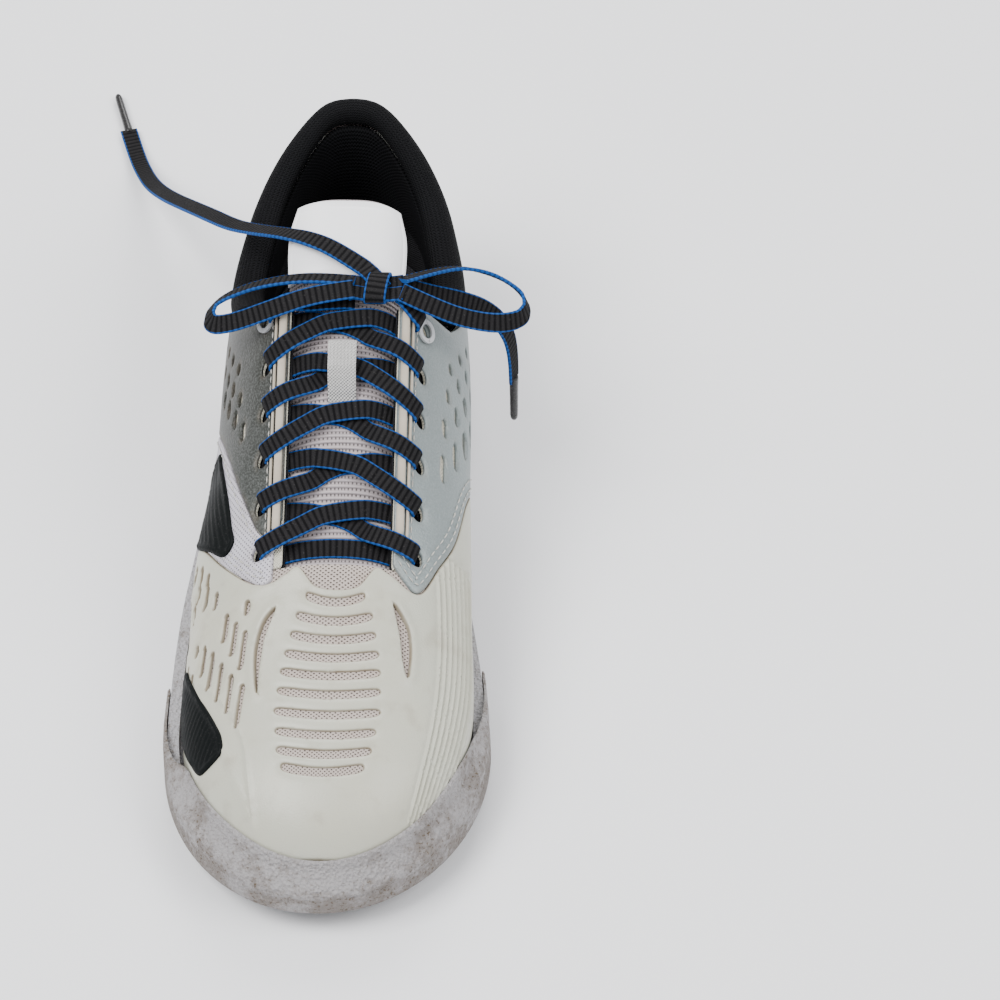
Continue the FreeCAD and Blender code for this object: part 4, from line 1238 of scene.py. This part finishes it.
heel_knit = open_mesh("heel_knit", tone(0.66, 0.57, 0.56), tone(0.22, 0.18, 0.18), 0.0012, 0.12)
layer("heel_lining", rear_layer(lasted_edge, lambda s: 0 * s + COLLAR_LOW - 0.5, REAR_END), 120, 16,
      LINING[1], LINING[0], lining_cloth, "lining", "heel_lining", roll=0.2)
layer("heel_counter", rear_layer(lasted_edge, counter_top, REAR_END - 6), 120, 24, *STIFFENER, fibre.material,
      "stiffener", "heel_counter", roll=0.2)
layer("heel_mesh", rear_layer(lasted_edge, under_roll, REAR_END), 160, 40, *MESH, heel_knit, "mesh",
      "heel_mesh")
layer("heel_wrap", rear_layer(lasted_edge, wrap_top, REAR_END), 180, 44, *OVERLAY, quarter_skin, "quarter",
      "heel_wrap", roll=0.7)
wrap_s = np.linspace(-REAR_END + 4, REAR_END - 4, 300)
rows = []
for inset in (2.0, 4.2):
    line = heel_point(wrap_s, wrap_top(wrap_s) - inset, SEAT)
    rows.append((line, line - heel_point(wrap_s, wrap_top(wrap_s) - inset, 1.0)))
sew("heel_stitches", "quarter", rows)

# The collar is padded: a black knit covers the fat roll round the ankle and the cushioned wall inside
# the heel, with a sheet of foam behind the wall.
ROLL_OUT, FOAM_OUT, COLLAR_LINING_OUT = (-4.8, 5.0), (-4.4, -0.2), (-4.5, -5.4)


def knit(name, light, dark, stitch):
    """Fine ribbed knit: rows of small slanted stitches, with lint on them."""
    finish = Finish(name, Specular_IOR_Level=0.12)
    x, y = finish.axes(finish.flat())[:2]
    column = x * (1 / stitch)
    side = (column.sum("FRACT") - 0.5).sum("ABSOLUTE") * 2.0
    loops = ((y * (1 / stitch) + side * 0.5) * (2 * math.pi)).sum("SINE") * 0.5 + 0.5
    lint = finish.noise(finish.place(), 0.0009, 4.0).step(0.60, 0.75)
    colour = finish.mix(lint * 0.25 + loops * 0.45, dark, light)
    return finish.wear(Base_Color=colour, Roughness=loops * 0.1 + 0.8, height=loops * 0.5 + side * 0.3)


collar_knit = knit("collar_knit", tone(0.012, 0.012, 0.014), tone(0.0015, 0.0015, 0.002), 0.0013)
sponge = Finish("open_foam", Roughness=0.95)
pores = sponge.cells(sponge.place(), 0.0008)
open_foam = sponge.wear(Base_Color=sponge.mix(pores, tone(0.3, 0.3, 0.28), tone(0.6, 0.6, 0.55)),
                        height=pores)


def collar_roll_point(u, v, swelling):
    s = mix(-COLLAR_END, COLLAR_END, u)
    angle = 2 * math.pi * v
    ends = np.sqrt(np.clip(np.minimum(u, 1 - u) * 2 * COLLAR_END / 5.0, 0.02, 1.0))
    c, n = np.cos(angle), np.sin(angle)
    fat = ends * (1 + 0.02 * np.sin(s * 0.35) * (1 - np.abs(c)))
    half = (ROLL_OUT[1] - ROLL_OUT[0]) / 2
    out = sum(ROLL_OUT) / 2 + fat * half * np.sign(c) * np.abs(c) ** 0.85 + swelling
    z = top_line(s) - ROLL / 2 + fat * (ROLL / 2) * np.sign(n) * np.abs(n) ** 0.85
    return heel_point(s, z, out)


ROLL_GIRTH = 36.0


def closed_tube(name, place, along_steps, round_steps, material, slot, *nodes, body="root"):
    """A closed form round a line, with flat ends."""
    u, v = np.meshgrid(np.linspace(0, 1, along_steps + 1), np.linspace(0, 1, round_steps, endpoint=False),
                       indexing="ij")
    places = place(u, v, 0.0)
    flat = np.stack(np.broadcast_arrays(
        np.concatenate([[0], np.cumsum(np.linalg.norm(np.diff(places[:, 0], axis=0), axis=1))])[:, None],
        v * ROLL_GIRTH), -1)
    faces = []
    for i in range(along_steps):
        for j in range(round_steps):
            k = (j + 1) % round_steps
            faces.append((i * round_steps + j, (i + 1) * round_steps + j, (i + 1) * round_steps + k,
                          i * round_steps + k))
    faces.append(tuple(range(round_steps)))
    faces.append(tuple(range(along_steps * round_steps, (along_steps + 1) * round_steps))[::-1])
    return piece(name, places.reshape(-1, 3), faces, material, slot, *nodes, body=body,
                 flat=flat.reshape(-1, 2))


roll_piece = closed_tube("collar_roll", collar_roll_point, 260, 32, collar_knit, "collar", "collar_roll")
under_top = rear_layer(lambda s: 0 * s + COLLAR_LOW, lambda s: under_roll(s) + 1.6, COLLAR_END)


def wall_relief(u, v):
    """The cushioned wall swells most round the heel and pulls in at its top and bottom seams."""
    s = mix(-COLLAR_END, COLLAR_END, u)
    return 2.2 * np.sin(math.pi * np.clip(v, 0, 1)) ** 0.7 * (0.5 + 0.5 * ease(110, 40, np.abs(s)))


wall = layer("collar_lining", under_top, 200, 30, *COLLAR_LINING_OUT, collar_knit, "collar", "collar_lining",
             relief=wall_relief)
FOAM_DROP = 3.0
behind_wall = rear_layer(lambda s: 0 * s + COLLAR_LOW + 0.4, lambda s: under_roll(s) - FOAM_DROP,
                         COLLAR_END - 1)
filling = layer("collar_foam", behind_wall, 120, 12, *FOAM_OUT, open_foam, "foam", "collar_foam", roll=1.0)

# The sockliner lies loose on the board: a moulded foam bed with a brushed knit cover glued on.
SOCKLINER, COVER, GAP = 3.5, 0.6, 0.1


def bed(flat, out):
    x, y = flat[:, 0], flat[:, 1]
    side = np.where(x >= 0, 1, -1)
    near_edge = np.abs(x) / np.maximum(half_width(y, -0.8, side), 1.0)
    return points(x, y, along(FEATHER, y) + out + 0.5 * ease(0.7, 1.0, near_edge) * (out > 1))


def plan_outline(out, count=110):
    turn = np.linspace(0, math.pi, count)
    y = mix(TOE_Y - out + 0.02, HEEL_Y + out - 0.02, (1 - np.cos(turn)) / 2)
    medial = np.stack([half_width(y, out, 1), y], 1)
    lateral = np.stack([-half_width(y, out, -1), y], 1)[::-1]
    return trace(np.concatenate([medial, lateral, medial[:1]]), 2.0)


foam_bed = Finish("bed_foam", Roughness=0.9)
bubbles = foam_bed.cells(foam_bed.place(), 0.0012)
foam_bed.wear(Base_Color=foam_bed.mix(bubbles, tone(0.05, 0.05, 0.055), tone(0.12, 0.12, 0.13)),
              height=bubbles)
bed_cover = knit("bed_cover", tone(0.10, 0.10, 0.11), tone(0.03, 0.03, 0.035), 0.0012)
bed_foam = cut_panel("sockliner", plan_outline(-1.4), [], GAP, SOCKLINER - 0.05, foam_bed.material,
                     "sockliner", "sockliner", step=5.0, roll=1.0, place=bed, body="sockliner")
cut_panel("sockliner_cover", plan_outline(-1.6), [], SOCKLINER, SOCKLINER + COVER, bed_cover,
          "sockliner_cover", "sockliner_cover", step=4.0, roll=0.4, place=bed, body="sockliner")

# The tongue is a padded strip sewn in at the foot of the throat: pinkish knit mesh with rows of small
# holes outside, foam, a textile lining, and a smooth white film panel over its top end. A woven tape
# keeper on its middle holds one lace row.
TONGUE_ROOT, TONGUE_STRAIGHT, TONGUE_TOP, TONGUE_SLOPE = -46.0, 34.0, 71.0, 0.42
TONGUE_FACE, TONGUE_FOAM, TONGUE_LINING, LABEL_OUT = (-3.4, -2.4), (-7.5, -3.5), (-7.6, -8.4), (-2.3, -1.4)
LABEL_FROM = 44
SPREAD = [(TONGUE_ROOT, 34), (10, 36), (34, 34), (LABEL_FROM, 31), (TONGUE_TOP - 9, 32), (TONGUE_TOP, 25)]


def tongue_point(y, turn, out):
    base = last_point(np.minimum(y, TONGUE_STRAIGHT), turn, out)
    past = np.maximum(y - TONGUE_STRAIGHT, 0.0)
    return base + points(0 * past, past, TONGUE_SLOPE * past)


def tongue_layer(low_y, high_y, spread, inset=0.0):
    def place(u, v, out):
        y = mix(low_y, high_y, u)
        half = along(spread, y) - inset
        return tongue_point(y, 88 + mix(-half, half, v), out)
    return place


def knit_rows(name, light, dark, row, stitch):
    """Knit with a row of small dark holes between every two courses."""
    finish = Finish(name, Specular_IOR_Level=0.2)
    x, y = finish.axes(finish.flat())[:2]
    course = (x * (2 * math.pi / row)).sum("COSINE") * 0.5 + 0.5
    wale = (y * (2 * math.pi / stitch)).sum("COSINE") * 0.5 + 0.5
    holes = (course * wale).step(0.50, 0.85)
    yarn = finish.noise(finish.flat(), stitch * 0.4, 3.0)
    courses = finish.mix(yarn * 0.5 + course * 0.2, light, tone(0.34, 0.29, 0.28))
    colour = finish.mix(holes * 0.80, courses, dark)
    return finish.wear(Base_Color=colour, Roughness=yarn * 0.1 + 0.75, height=1 - course * 0.7 - holes * 0.3)


def tongue_relief(u, v):
    """Soft padding channels across the tongue."""
    return 0.35 * np.cos(u * 2 * math.pi * 9) * np.sin(math.pi * v) ** 0.5 + 0.5 * np.sin(math.pi * v) - 0.5


tongue_knit = knit_rows("tongue_knit", tone(0.54, 0.48, 0.49), tone(0.06, 0.05, 0.05), 0.0019, 0.0014)
tongue_body = tongue_layer(TONGUE_ROOT, TONGUE_TOP, SPREAD)
layer("tongue_face", tongue_body, 150, 60, *TONGUE_FACE, tongue_knit, "tongue", "tongue_face", body="tongue",
      relief=tongue_relief, roll=0.8)
pad = layer("tongue_foam", tongue_layer(TONGUE_ROOT + 0.5, TONGUE_TOP - 0.5, SPREAD, 0.5), 70, 30,
            *TONGUE_FOAM, open_foam, "foam", "tongue_foam", body="tongue", roll=1.4)
layer("tongue_lining", tongue_body, 80, 30, *TONGUE_LINING, lining_cloth, "lining", "tongue_lining",
      body="tongue", roll=0.5)
label_film = Finish("label_film", Coat_Weight=0.2, Coat_Roughness=0.3)
label_cloud = label_film.noise(label_film.place(), 0.012, 4.0)
label_edge = 1 - label_film.rim().step(0.3, 2.5)
label_film.wear(Base_Color=label_film.mix(label_edge * 0.25 + label_cloud * 0.15, tone(0.97, 0.97, 0.98),
                                          tone(0.60, 0.58, 0.58)),
                Roughness=label_cloud * 0.2 + 0.35, height=label_film.noise(label_film.place(), 0.0006) * 0.1)
LABEL_LONG, LABEL_WIDE = 29, 42
LABEL_SPREAD = [(LABEL_FROM, 30), (TONGUE_TOP - 10, 31), (TONGUE_TOP - 1, 25)]


def label_relief(u, v):
    """A pressed line a little inside the panel's edge."""
    inset = np.minimum(np.minimum(u, 1 - u) * LABEL_LONG, np.minimum(v, 1 - v) * LABEL_WIDE)
    return -0.3 * np.exp(-((inset - 2.4) / 0.5) ** 2)


layer("tongue_label", tongue_layer(LABEL_FROM, TONGUE_TOP - 1, LABEL_SPREAD), 70, 90, *LABEL_OUT,
      label_film.material, "label", "tongue_label", body="tongue", relief=label_relief, roll=0.5)


KEEPER_FROM, KEEPER_TO, KEEPER_HALF, KEEPER_LIFT = 2.6, 21.2, 4.8, 9.0


def keeper_point(u, v, out):
    lift = KEEPER_LIFT * ease(0, .3, u) * (1 - ease(.7, 1, u))
    return throat_point(mix(-KEEPER_HALF, KEEPER_HALF, v), mix(KEEPER_FROM, KEEPER_TO, u), out + lift)


keeper_tape = textile("keeper_tape", tone(0.74, 0.73, 0.71), tone(0.50, 0.49, 0.47), 0.0012)
layer("tongue_loop", keeper_point, 60, 20, *LABEL_OUT, keeper_tape, "loop", "tongue_loop", body="tongue",
      relief=lambda u, v: 0.12 * np.cos(u * 2 * math.pi * 18), roll=0.3)

# One painted ring lines the top eyelet of each side.
ring_paint = Finish("ring_paint", Metallic=0.7, Coat_Weight=0.3)
chips = ring_paint.noise(ring_paint.place(), 0.0015, 5.0)
painted = ring_paint.mix(chips.step(0.62, 0.66), tone(0.66, 0.67, 0.68), tone(0.3, 0.3, 0.3))
dress("eyelet_rings", ring_paint.wear(Base_Color=painted, Roughness=chips * 0.3 + 0.25,
                                              height=chips * 0.1))

# The lace is a flat woven polyester ribbon, black with a blue cord along each edge and a rib across
# it about every two millimetres. It crosses the tongue between the eyelets and is tied in a bow.
LACE_WIDTH, LACE_THICK, RIB_PITCH = 6.8, 1.3, 2.1
# Round the lace's section: share of half its width, share of half its thickness, 1 where it is ribbed.
SECTION = [(-.84, 1, 1), (-.45, 1, 1), (0, 1, 1), (.45, 1, 1), (.84, 1, 1), (.87, .9, 0), (.97, .6, 0),
           (1, 0, 0), (.97, -.6, 0), (.87, -.9, 0), (.84, -1, 1), (.45, -1, 1), (0, -1, 1), (-.45, -1, 1),
           (-.84, -1, 1), (-.87, -.9, 0), (-.97, -.6, 0), (-1, 0, 0), (-.97, .6, 0), (-.87, .9, 0)]


def woven(name, light, dark, thread_size):
    finish = Finish(name, Specular_IOR_Level=0.08)
    yarn = finish.noise(finish.place(), thread_size, 3.0)
    dust = finish.noise(finish.place(), 0.0008, 4.0).step(0.62, 0.75)
    rib = finish.rim().step(0.60, 0.98)
    colour = finish.mix(dust * 0.05, finish.mix(rib * (yarn * 0.6 + 0.4), dark, light), tone(0.4, 0.38, 0.35))
    return finish.wear(Base_Color=colour, Roughness=yarn * 0.2 + 0.65, height=yarn * 0.4)


lace_black = woven("lace_black", tone(0.022, 0.021, 0.022), tone(0.0015, 0.0015, 0.002), 0.0006)
lace_blue = woven("lace_blue", tone(0.014, 0.090, 0.330), tone(0.006, 0.035, 0.140), 0.0005)


def ribbon(centres, facing, width=LACE_WIDTH):
    """Points, faces, edge marks and rib heights of a flat lace along a line; facing is its broad side."""
    step = RIB_PITCH / 5
    both = walk(np.concatenate([centres, facing], 1), step)
    line, facing = both[:, :3], both[:, 3:]
    tangent = np.gradient(line, axis=0)
    tangent /= np.linalg.norm(tangent, axis=1, keepdims=True)
    facing = facing - np.sum(facing * tangent, 1, keepdims=True) * tangent
    facing /= np.linalg.norm(facing, axis=1, keepdims=True)
    across = np.cross(facing, tangent)
    section = np.array(SECTION, float)
    ribs = 0.55 + 0.45 * np.abs(np.cos(np.arange(len(line)) * step * math.pi / RIB_PITCH))
    high = section[:, 1] * np.where(section[:, 2] > 0, ribs[:, None], 1.0) * LACE_THICK / 2
    places = (line[:, None] + across[:, None] * (section[:, 0] * width / 2)[None, :, None]
              + facing[:, None] * high[..., None]).reshape(-1, 3)
    count = len(section)
    faces, edge = [], []
    for i in range(len(line) - 1):
        for j in range(count):
            k = (j + 1) % count
            faces.append((i * count + j, i * count + k, (i + 1) * count + k, (i + 1) * count + j))
            edge.append(0 if section[j, 2] and section[k, 2] else 1)
    faces += [tuple(range(count))[::-1], tuple(range((len(line) - 1) * count, len(line) * count))]
    return places, faces, edge + [1, 1], np.repeat(ribs, count)


def laces(name, ribbons, slot, *nodes):
    """One piece from several ribbons."""
    places, faces = joined([(some, more) for some, more, edge, ribs in ribbons])
    edges = [mark for some, more, edge, ribs in ribbons for mark in edge]
    height = np.concatenate([ribs for some, more, edge, ribs in ribbons])
    return piece(name, places, faces, lace_black, slot, *nodes, rim=height, second=lace_blue, seconds=edges,
                 sharp=70)


# Across the throat: distance from its centre line, share of the eyelet pitch climbed, place out.
OVER_STRAND = [(-27, 0.0, 5.2), (-19.5, .14, 5.8), (-12, .42, 3.2), (-6, .62, 2.0), (0, .72, 1.4),
               (6, .78, 1.3), (9, .81, 1.2), (13, .86, 0.2), (19.5, .94, -1.3), (27, 1.0, -1.3)]
UNDER_STRAND = [(-27, 0.0, 5.2), (-19.5, .08, 5.8), (-12, .3, 1.9), (-9, .44, -0.5), (-5, .6, -1.2),
                (0, .72, -1.3), (6, .78, -1.3), (12, .86, -1.3), (19.5, .94, -1.3), (27, 1.0, -1.3)]
KNOT_OFFSET, KNOT_HALF, LEAD_GAP = 11.0, 7.0, 0.6
DIVE_FROM, ON_TONGUE = 25.5, -1.3
TOP_Y = EYELET_Y + EYELET_PITCH * (EYELETS - 1)


def throat_facing(offset, y, out):
    """Direction straight out of a layer over the instep."""
    along_foot = throat_point(offset, y + 0.5, out) - throat_point(offset, y - 0.5, out)
    across = throat_point(offset + 0.5, y, out) - throat_point(offset - 0.5, y, out)
    normal = np.cross(across, along_foot)
    return normal / np.linalg.norm(normal, axis=1, keepdims=True)


def strand(offset, y, out, dive=True):
    """A lace strand across the throat; its first end turns down into its eyelet."""
    line, facing = throat_point(offset, y, out), throat_facing(offset, y, out)
    if not dive:
        return ribbon(line, facing)
    way = line[0] - line[1]
    way /= np.linalg.norm(way)
    turn = np.radians(np.linspace(90, 8, 8))[:, None]
    radius = 2.6
    bend = line[0] + radius * way * np.cos(turn) - radius * facing[0] * (1 - np.sin(turn))
    bend_facing = facing[0] * np.sin(turn) + way * np.cos(turn)
    tail = bend[-1] - facing[0] * np.linspace(0.8, 3.0, 3)[:, None]
    tail_facing = np.repeat(bend_facing[-1:], 3, 0)
    start = np.concatenate([bend[1:], tail])[::-1]
    start_facing = np.concatenate([bend_facing[1:], tail_facing])[::-1]
    return ribbon(np.concatenate([start, line]), np.concatenate([start_facing, facing]))


t = np.linspace(0, 1, 160)
rows = []
for k in range(EYELETS - 1):
    on_top = 1 if k % 2 else -1
    for table, side in ((OVER_STRAND, on_top), (UNDER_STRAND, -on_top)):
        offset = mix(-DIVE_FROM, EYELET_HALF, t)
        share = along([(a, b) for a, b, c in table], offset)
        out = along([(a, c) for a, b, c in table], offset)
        rows.append(strand(-side * offset, EYELET_Y + EYELET_PITCH * (k + share), out))
offset = mix(-EYELET_HALF, EYELET_HALF, t)
rows.append(strand(offset, EYELET_Y + 1.2 * (1 - (offset / EYELET_HALF) ** 2), 0 * t + ON_TONGUE, dive=False))
offset = mix(-DIVE_FROM, KNOT_OFFSET - KNOT_HALF - LEAD_GAP, t)
lead = along([(-27, 6.4), (-19.5, 6.0), (-11, 2.0), (3, 0.4)], offset)
rows.append(strand(offset, TOP_Y + 3 * ease(-27, 4, offset), lead))
offset = mix(DIVE_FROM, KNOT_OFFSET + KNOT_HALF + LEAD_GAP, t)
lead = along([(17, 4.0), (19.5, 6.0), (27, 6.4)], offset)
rows.append(strand(offset, TOP_Y + 5 * ease(27, 16, offset), lead))
laces("lace_rows", rows, "lace", "lace_rows")

# The bow: two loops and two free ends leave a single wrapped knot. Each is the lace's own length,
# laid along the smooth line that its given points draw, millimetres.
LOOP_LATERAL = [(6.8, 37.5, 114.5), (-6, 39.5, 114), (-21, 41, 110.5), (-34, 42, 104.5), (-43.5, 39.5, 99.5),
                (-44, 30.5, 98.5), (-35, 27.5, 103), (-21, 28.5, 109.5), (-6, 30.5, 115), (6.8, 33, 115)]
LOOP_MEDIAL = [(22.6, 38.4, 114), (31, 46, 110.5), (43, 55, 105), (56, 56.5, 99), (65, 50, 96),
              (65.5, 41, 95), (57, 34, 98), (44, 31.5, 103), (32, 32, 109), (22.6, 33.6, 113.4)]
END_LATERAL = [(10, 43.5, 114.5), (0, 49.5, 117.5), (-10, 55, 117.5), (-20, 62, 113), (-30, 72, 104.5),
               (-40, 85, 94), (-50, 103, 81.5), (-61, 127, 63), (-73, 156, 40), (-83, 184, 19),
               (-90, 207, 5.5), (-94.5, 221, 2), (-98.5, 234, 2)]
END_MEDIAL = [(22.6, 41.3, 108.6), (31, 43, 103.5), (41, 46, 98), (50.5, 49, 91), (57.5, 51, 80.5),
              (60.5, 52, 67), (60.5, 52.5, 52)]
AGLET = 22.0


def lace_line(route):
    """The smooth centre line that a route's points draw, metres."""
    curve = bpy.data.curves.new("lace_line", "CURVE")
    curve.dimensions = "3D"
    curve.resolution_u = 24
    spline = curve.splines.new("NURBS")
    spline.points.add(len(route) - 1)
    for control, place in zip(spline.points, route):
        control.co = (place[0] * MM, place[1] * MM, place[2] * MM, 1)
    spline.order_u = 3
    spline.use_endpoint_u = True
    holder = bpy.data.objects.new("lace_line", curve)
    bpy.context.scene.collection.objects.link(holder)
    mesh = bpy.data.meshes.new_from_object(holder)
    line = np.array([tuple(v.co) for v in mesh.vertices])
    bpy.data.objects.remove(holder)
    bpy.data.meshes.remove(mesh)
    return line


def free_lace(name, route, hints):
    """A free lace on its route; hints are (share of its length, direction its broad side faces)."""
    line = lace_line(route)
    share = np.linspace(0, 1, len(line))
    places = [at for at, way in hints]
    facing = np.stack([np.interp(share, places, [way[i] for at, way in hints]) for i in range(3)], 1)
    made = laces(name, [ribbon(line / MM, facing)], "lace", name)
    return made


def make_aglet(name, route):
    """A clear-lacquered black sleeve shrunk over the lace's end, rolled to a round tip."""
    tip, before = np.array(route[-1], float), np.array(route[-2], float)
    way = (tip - before) / np.linalg.norm(tip - before)
    side = np.cross(way, (0, 0, 1.0)) if abs(way[2]) < 0.9 else np.array((1.0, 0, 0))
    side /= np.linalg.norm(side)
    over = np.cross(side, way)
    profile = [(-1.5, 1.35), (-1.2, 1.62), (0, 1.66), (3, 1.58), (10, 1.5), (19, 1.45), (20.6, 1.3),
               (21.5, 0.9), (AGLET, 0.25)]
    angle = np.linspace(0, 2 * math.pi, 20, endpoint=False)
    rings = [tip + way * far + radius * (np.cos(angle)[:, None] * side + np.sin(angle)[:, None] * over)
             for far, radius in profile]
    faces = [(i * 20 + j, i * 20 + (j + 1) % 20, (i + 1) * 20 + (j + 1) % 20, (i + 1) * 20 + j)
             for i in range(len(profile) - 1) for j in range(20)]
    faces += [tuple(range(20))[::-1], tuple(range((len(profile) - 1) * 20, len(profile) * 20))]
    faces = [face[::-1] for face in faces]
    return piece(name, np.concatenate(rings), faces, sleeve.material, "aglet", name)


sleeve = Finish("sleeve", Coat_Weight=0.25, Coat_Roughness=0.15, Specular_IOR_Level=0.2)
weave_through = sleeve.noise(sleeve.place(), 0.0009, 3.0)
sleeve.wear(Base_Color=sleeve.mix(weave_through, tone(0.008, 0.008, 0.01), tone(0.035, 0.033, 0.03)),
            Roughness=weave_through * 0.2 + 0.15, height=weave_through * 0.15)
aglets = {name: make_aglet(name, route) for name, route in (("aglet_lateral", END_LATERAL),
                                                            ("aglet_medial", END_MEDIAL))}
free_lace("lace_loop_lateral", LOOP_LATERAL,
          [(0, (0, .3, 1)), (.30, (-.2, .4, 1)), (.44, (-.7, .5, .7)), (.5, (-1, 0, .6)),
           (.56, (-.6, -.6, .7)), (.70, (-.2, -.6, 1)), (1, (0, -.5, 1))])
free_lace("lace_loop_medial", LOOP_MEDIAL,
          [(0, (-.2, .5, 1)), (.3, (0, .8, .8)), (.44, (.8, .7, .4)), (.52, (1, 0, .3)), (.60, (.6, -.8, .4)),
           (.75, (.1, -.7, 1)), (1, (0, -.5, 1))])
free_lace("lace_end_lateral", END_LATERAL,
          [(0, (.2, -.3, 1)), (.2, (.1, 0, 1)), (.5, (-.3, .2, 1)), (.8, (-.2, .2, 1)), (1, (0, 0, 1))])
free_lace("lace_end_medial", END_MEDIAL,
          [(0, (0, -.6, 1)), (.35, (.3, -.7, .8)), (.7, (.9, -.5, .3)), (1, (1, -.4, 0))])

# The knot: one turn of the lace wrapped tightly round the crossed strands.
KNOT_AT = np.array((14.6, 36.3, 112.0))
KNOT_DEEP, KNOT_HIGH = 5.9, 3.6
turn = np.radians(np.linspace(-100, 250, 70))
band = KNOT_AT + points(0.9 * np.sin(turn), KNOT_DEEP * np.sin(turn), KNOT_HIGH * np.cos(turn) + 0.4)
band_facing = points(0 * turn, np.sin(turn) / KNOT_DEEP, np.cos(turn) / KNOT_HIGH)
through = np.linspace(0, 1, 40)[:, None]
upper = mix(np.array((5.5, 37.6, 113.9)), np.array((23.5, 38.6, 113.4)), through)
lower = mix(np.array((5.5, 33.4, 113.4)), np.array((23.5, 33.8, 112.6)), through)
under = mix(np.array((4.0, 35.5, 110.6)), np.array((19.0, 40.5, 110.0)), through)
lift = 1.2 * np.sin(through * math.pi) * np.array([[0, 0, 1.0]])
knot_up = np.repeat(np.array([[0, -0.2, 1.0]]), 40, 0)
stub = np.linspace(0, 1, 16)[:, None]
stub_up = np.repeat(np.array([[.1, -.3, 1.0]]), 16, 0)
rising = mix(np.array((16.5, 35.5, 113.0)), np.array((9.6, 43.8, 114.6)), stub)
rising = rising + 0.8 * np.sin(stub * math.pi) * np.array([[0, 0, 1.0]])
falling = mix(np.array((17.5, 38.5, 111.0)), np.array((22.9, 41.4, 108.4)), stub)
laces("knot", [ribbon(rising, stub_up, 6.6), ribbon(falling, stub_up, 6.4), ribbon(band, band_facing, 7.6),
               ribbon(upper - lift, knot_up, 5.6), ribbon(lower - lift, knot_up, 5.6),
               ribbon(under, knot_up, 6.4)], "lace", "lace_knot")

# The shoe stands on a plain pale floor, flat and wide. It is only a stage, no part of the shoe.
FLOOR_REACH = 6.0
floor_paint = Finish("floor", Roughness=0.9)
floor_cloud = floor_paint.noise(floor_paint.place(), 0.4)
floor_paint.wear(Base_Color=floor_paint.mix(floor_cloud, tone(0.86, 0.86, 0.87), tone(0.88, 0.88, 0.89)))
floor_mesh = bpy.data.meshes.new("floor")
floor_mesh.from_pydata([(-FLOOR_REACH, -FLOOR_REACH, 0), (FLOOR_REACH, -FLOOR_REACH, 0),
                        (FLOOR_REACH, FLOOR_REACH, 0), (-FLOOR_REACH, FLOOR_REACH, 0)], [], [(0, 1, 2, 3)])
floor_mesh.materials.append(floor_paint.material)
floor = bpy.data.objects.new("floor", floor_mesh)
bpy.context.scene.collection.objects.link(floor)
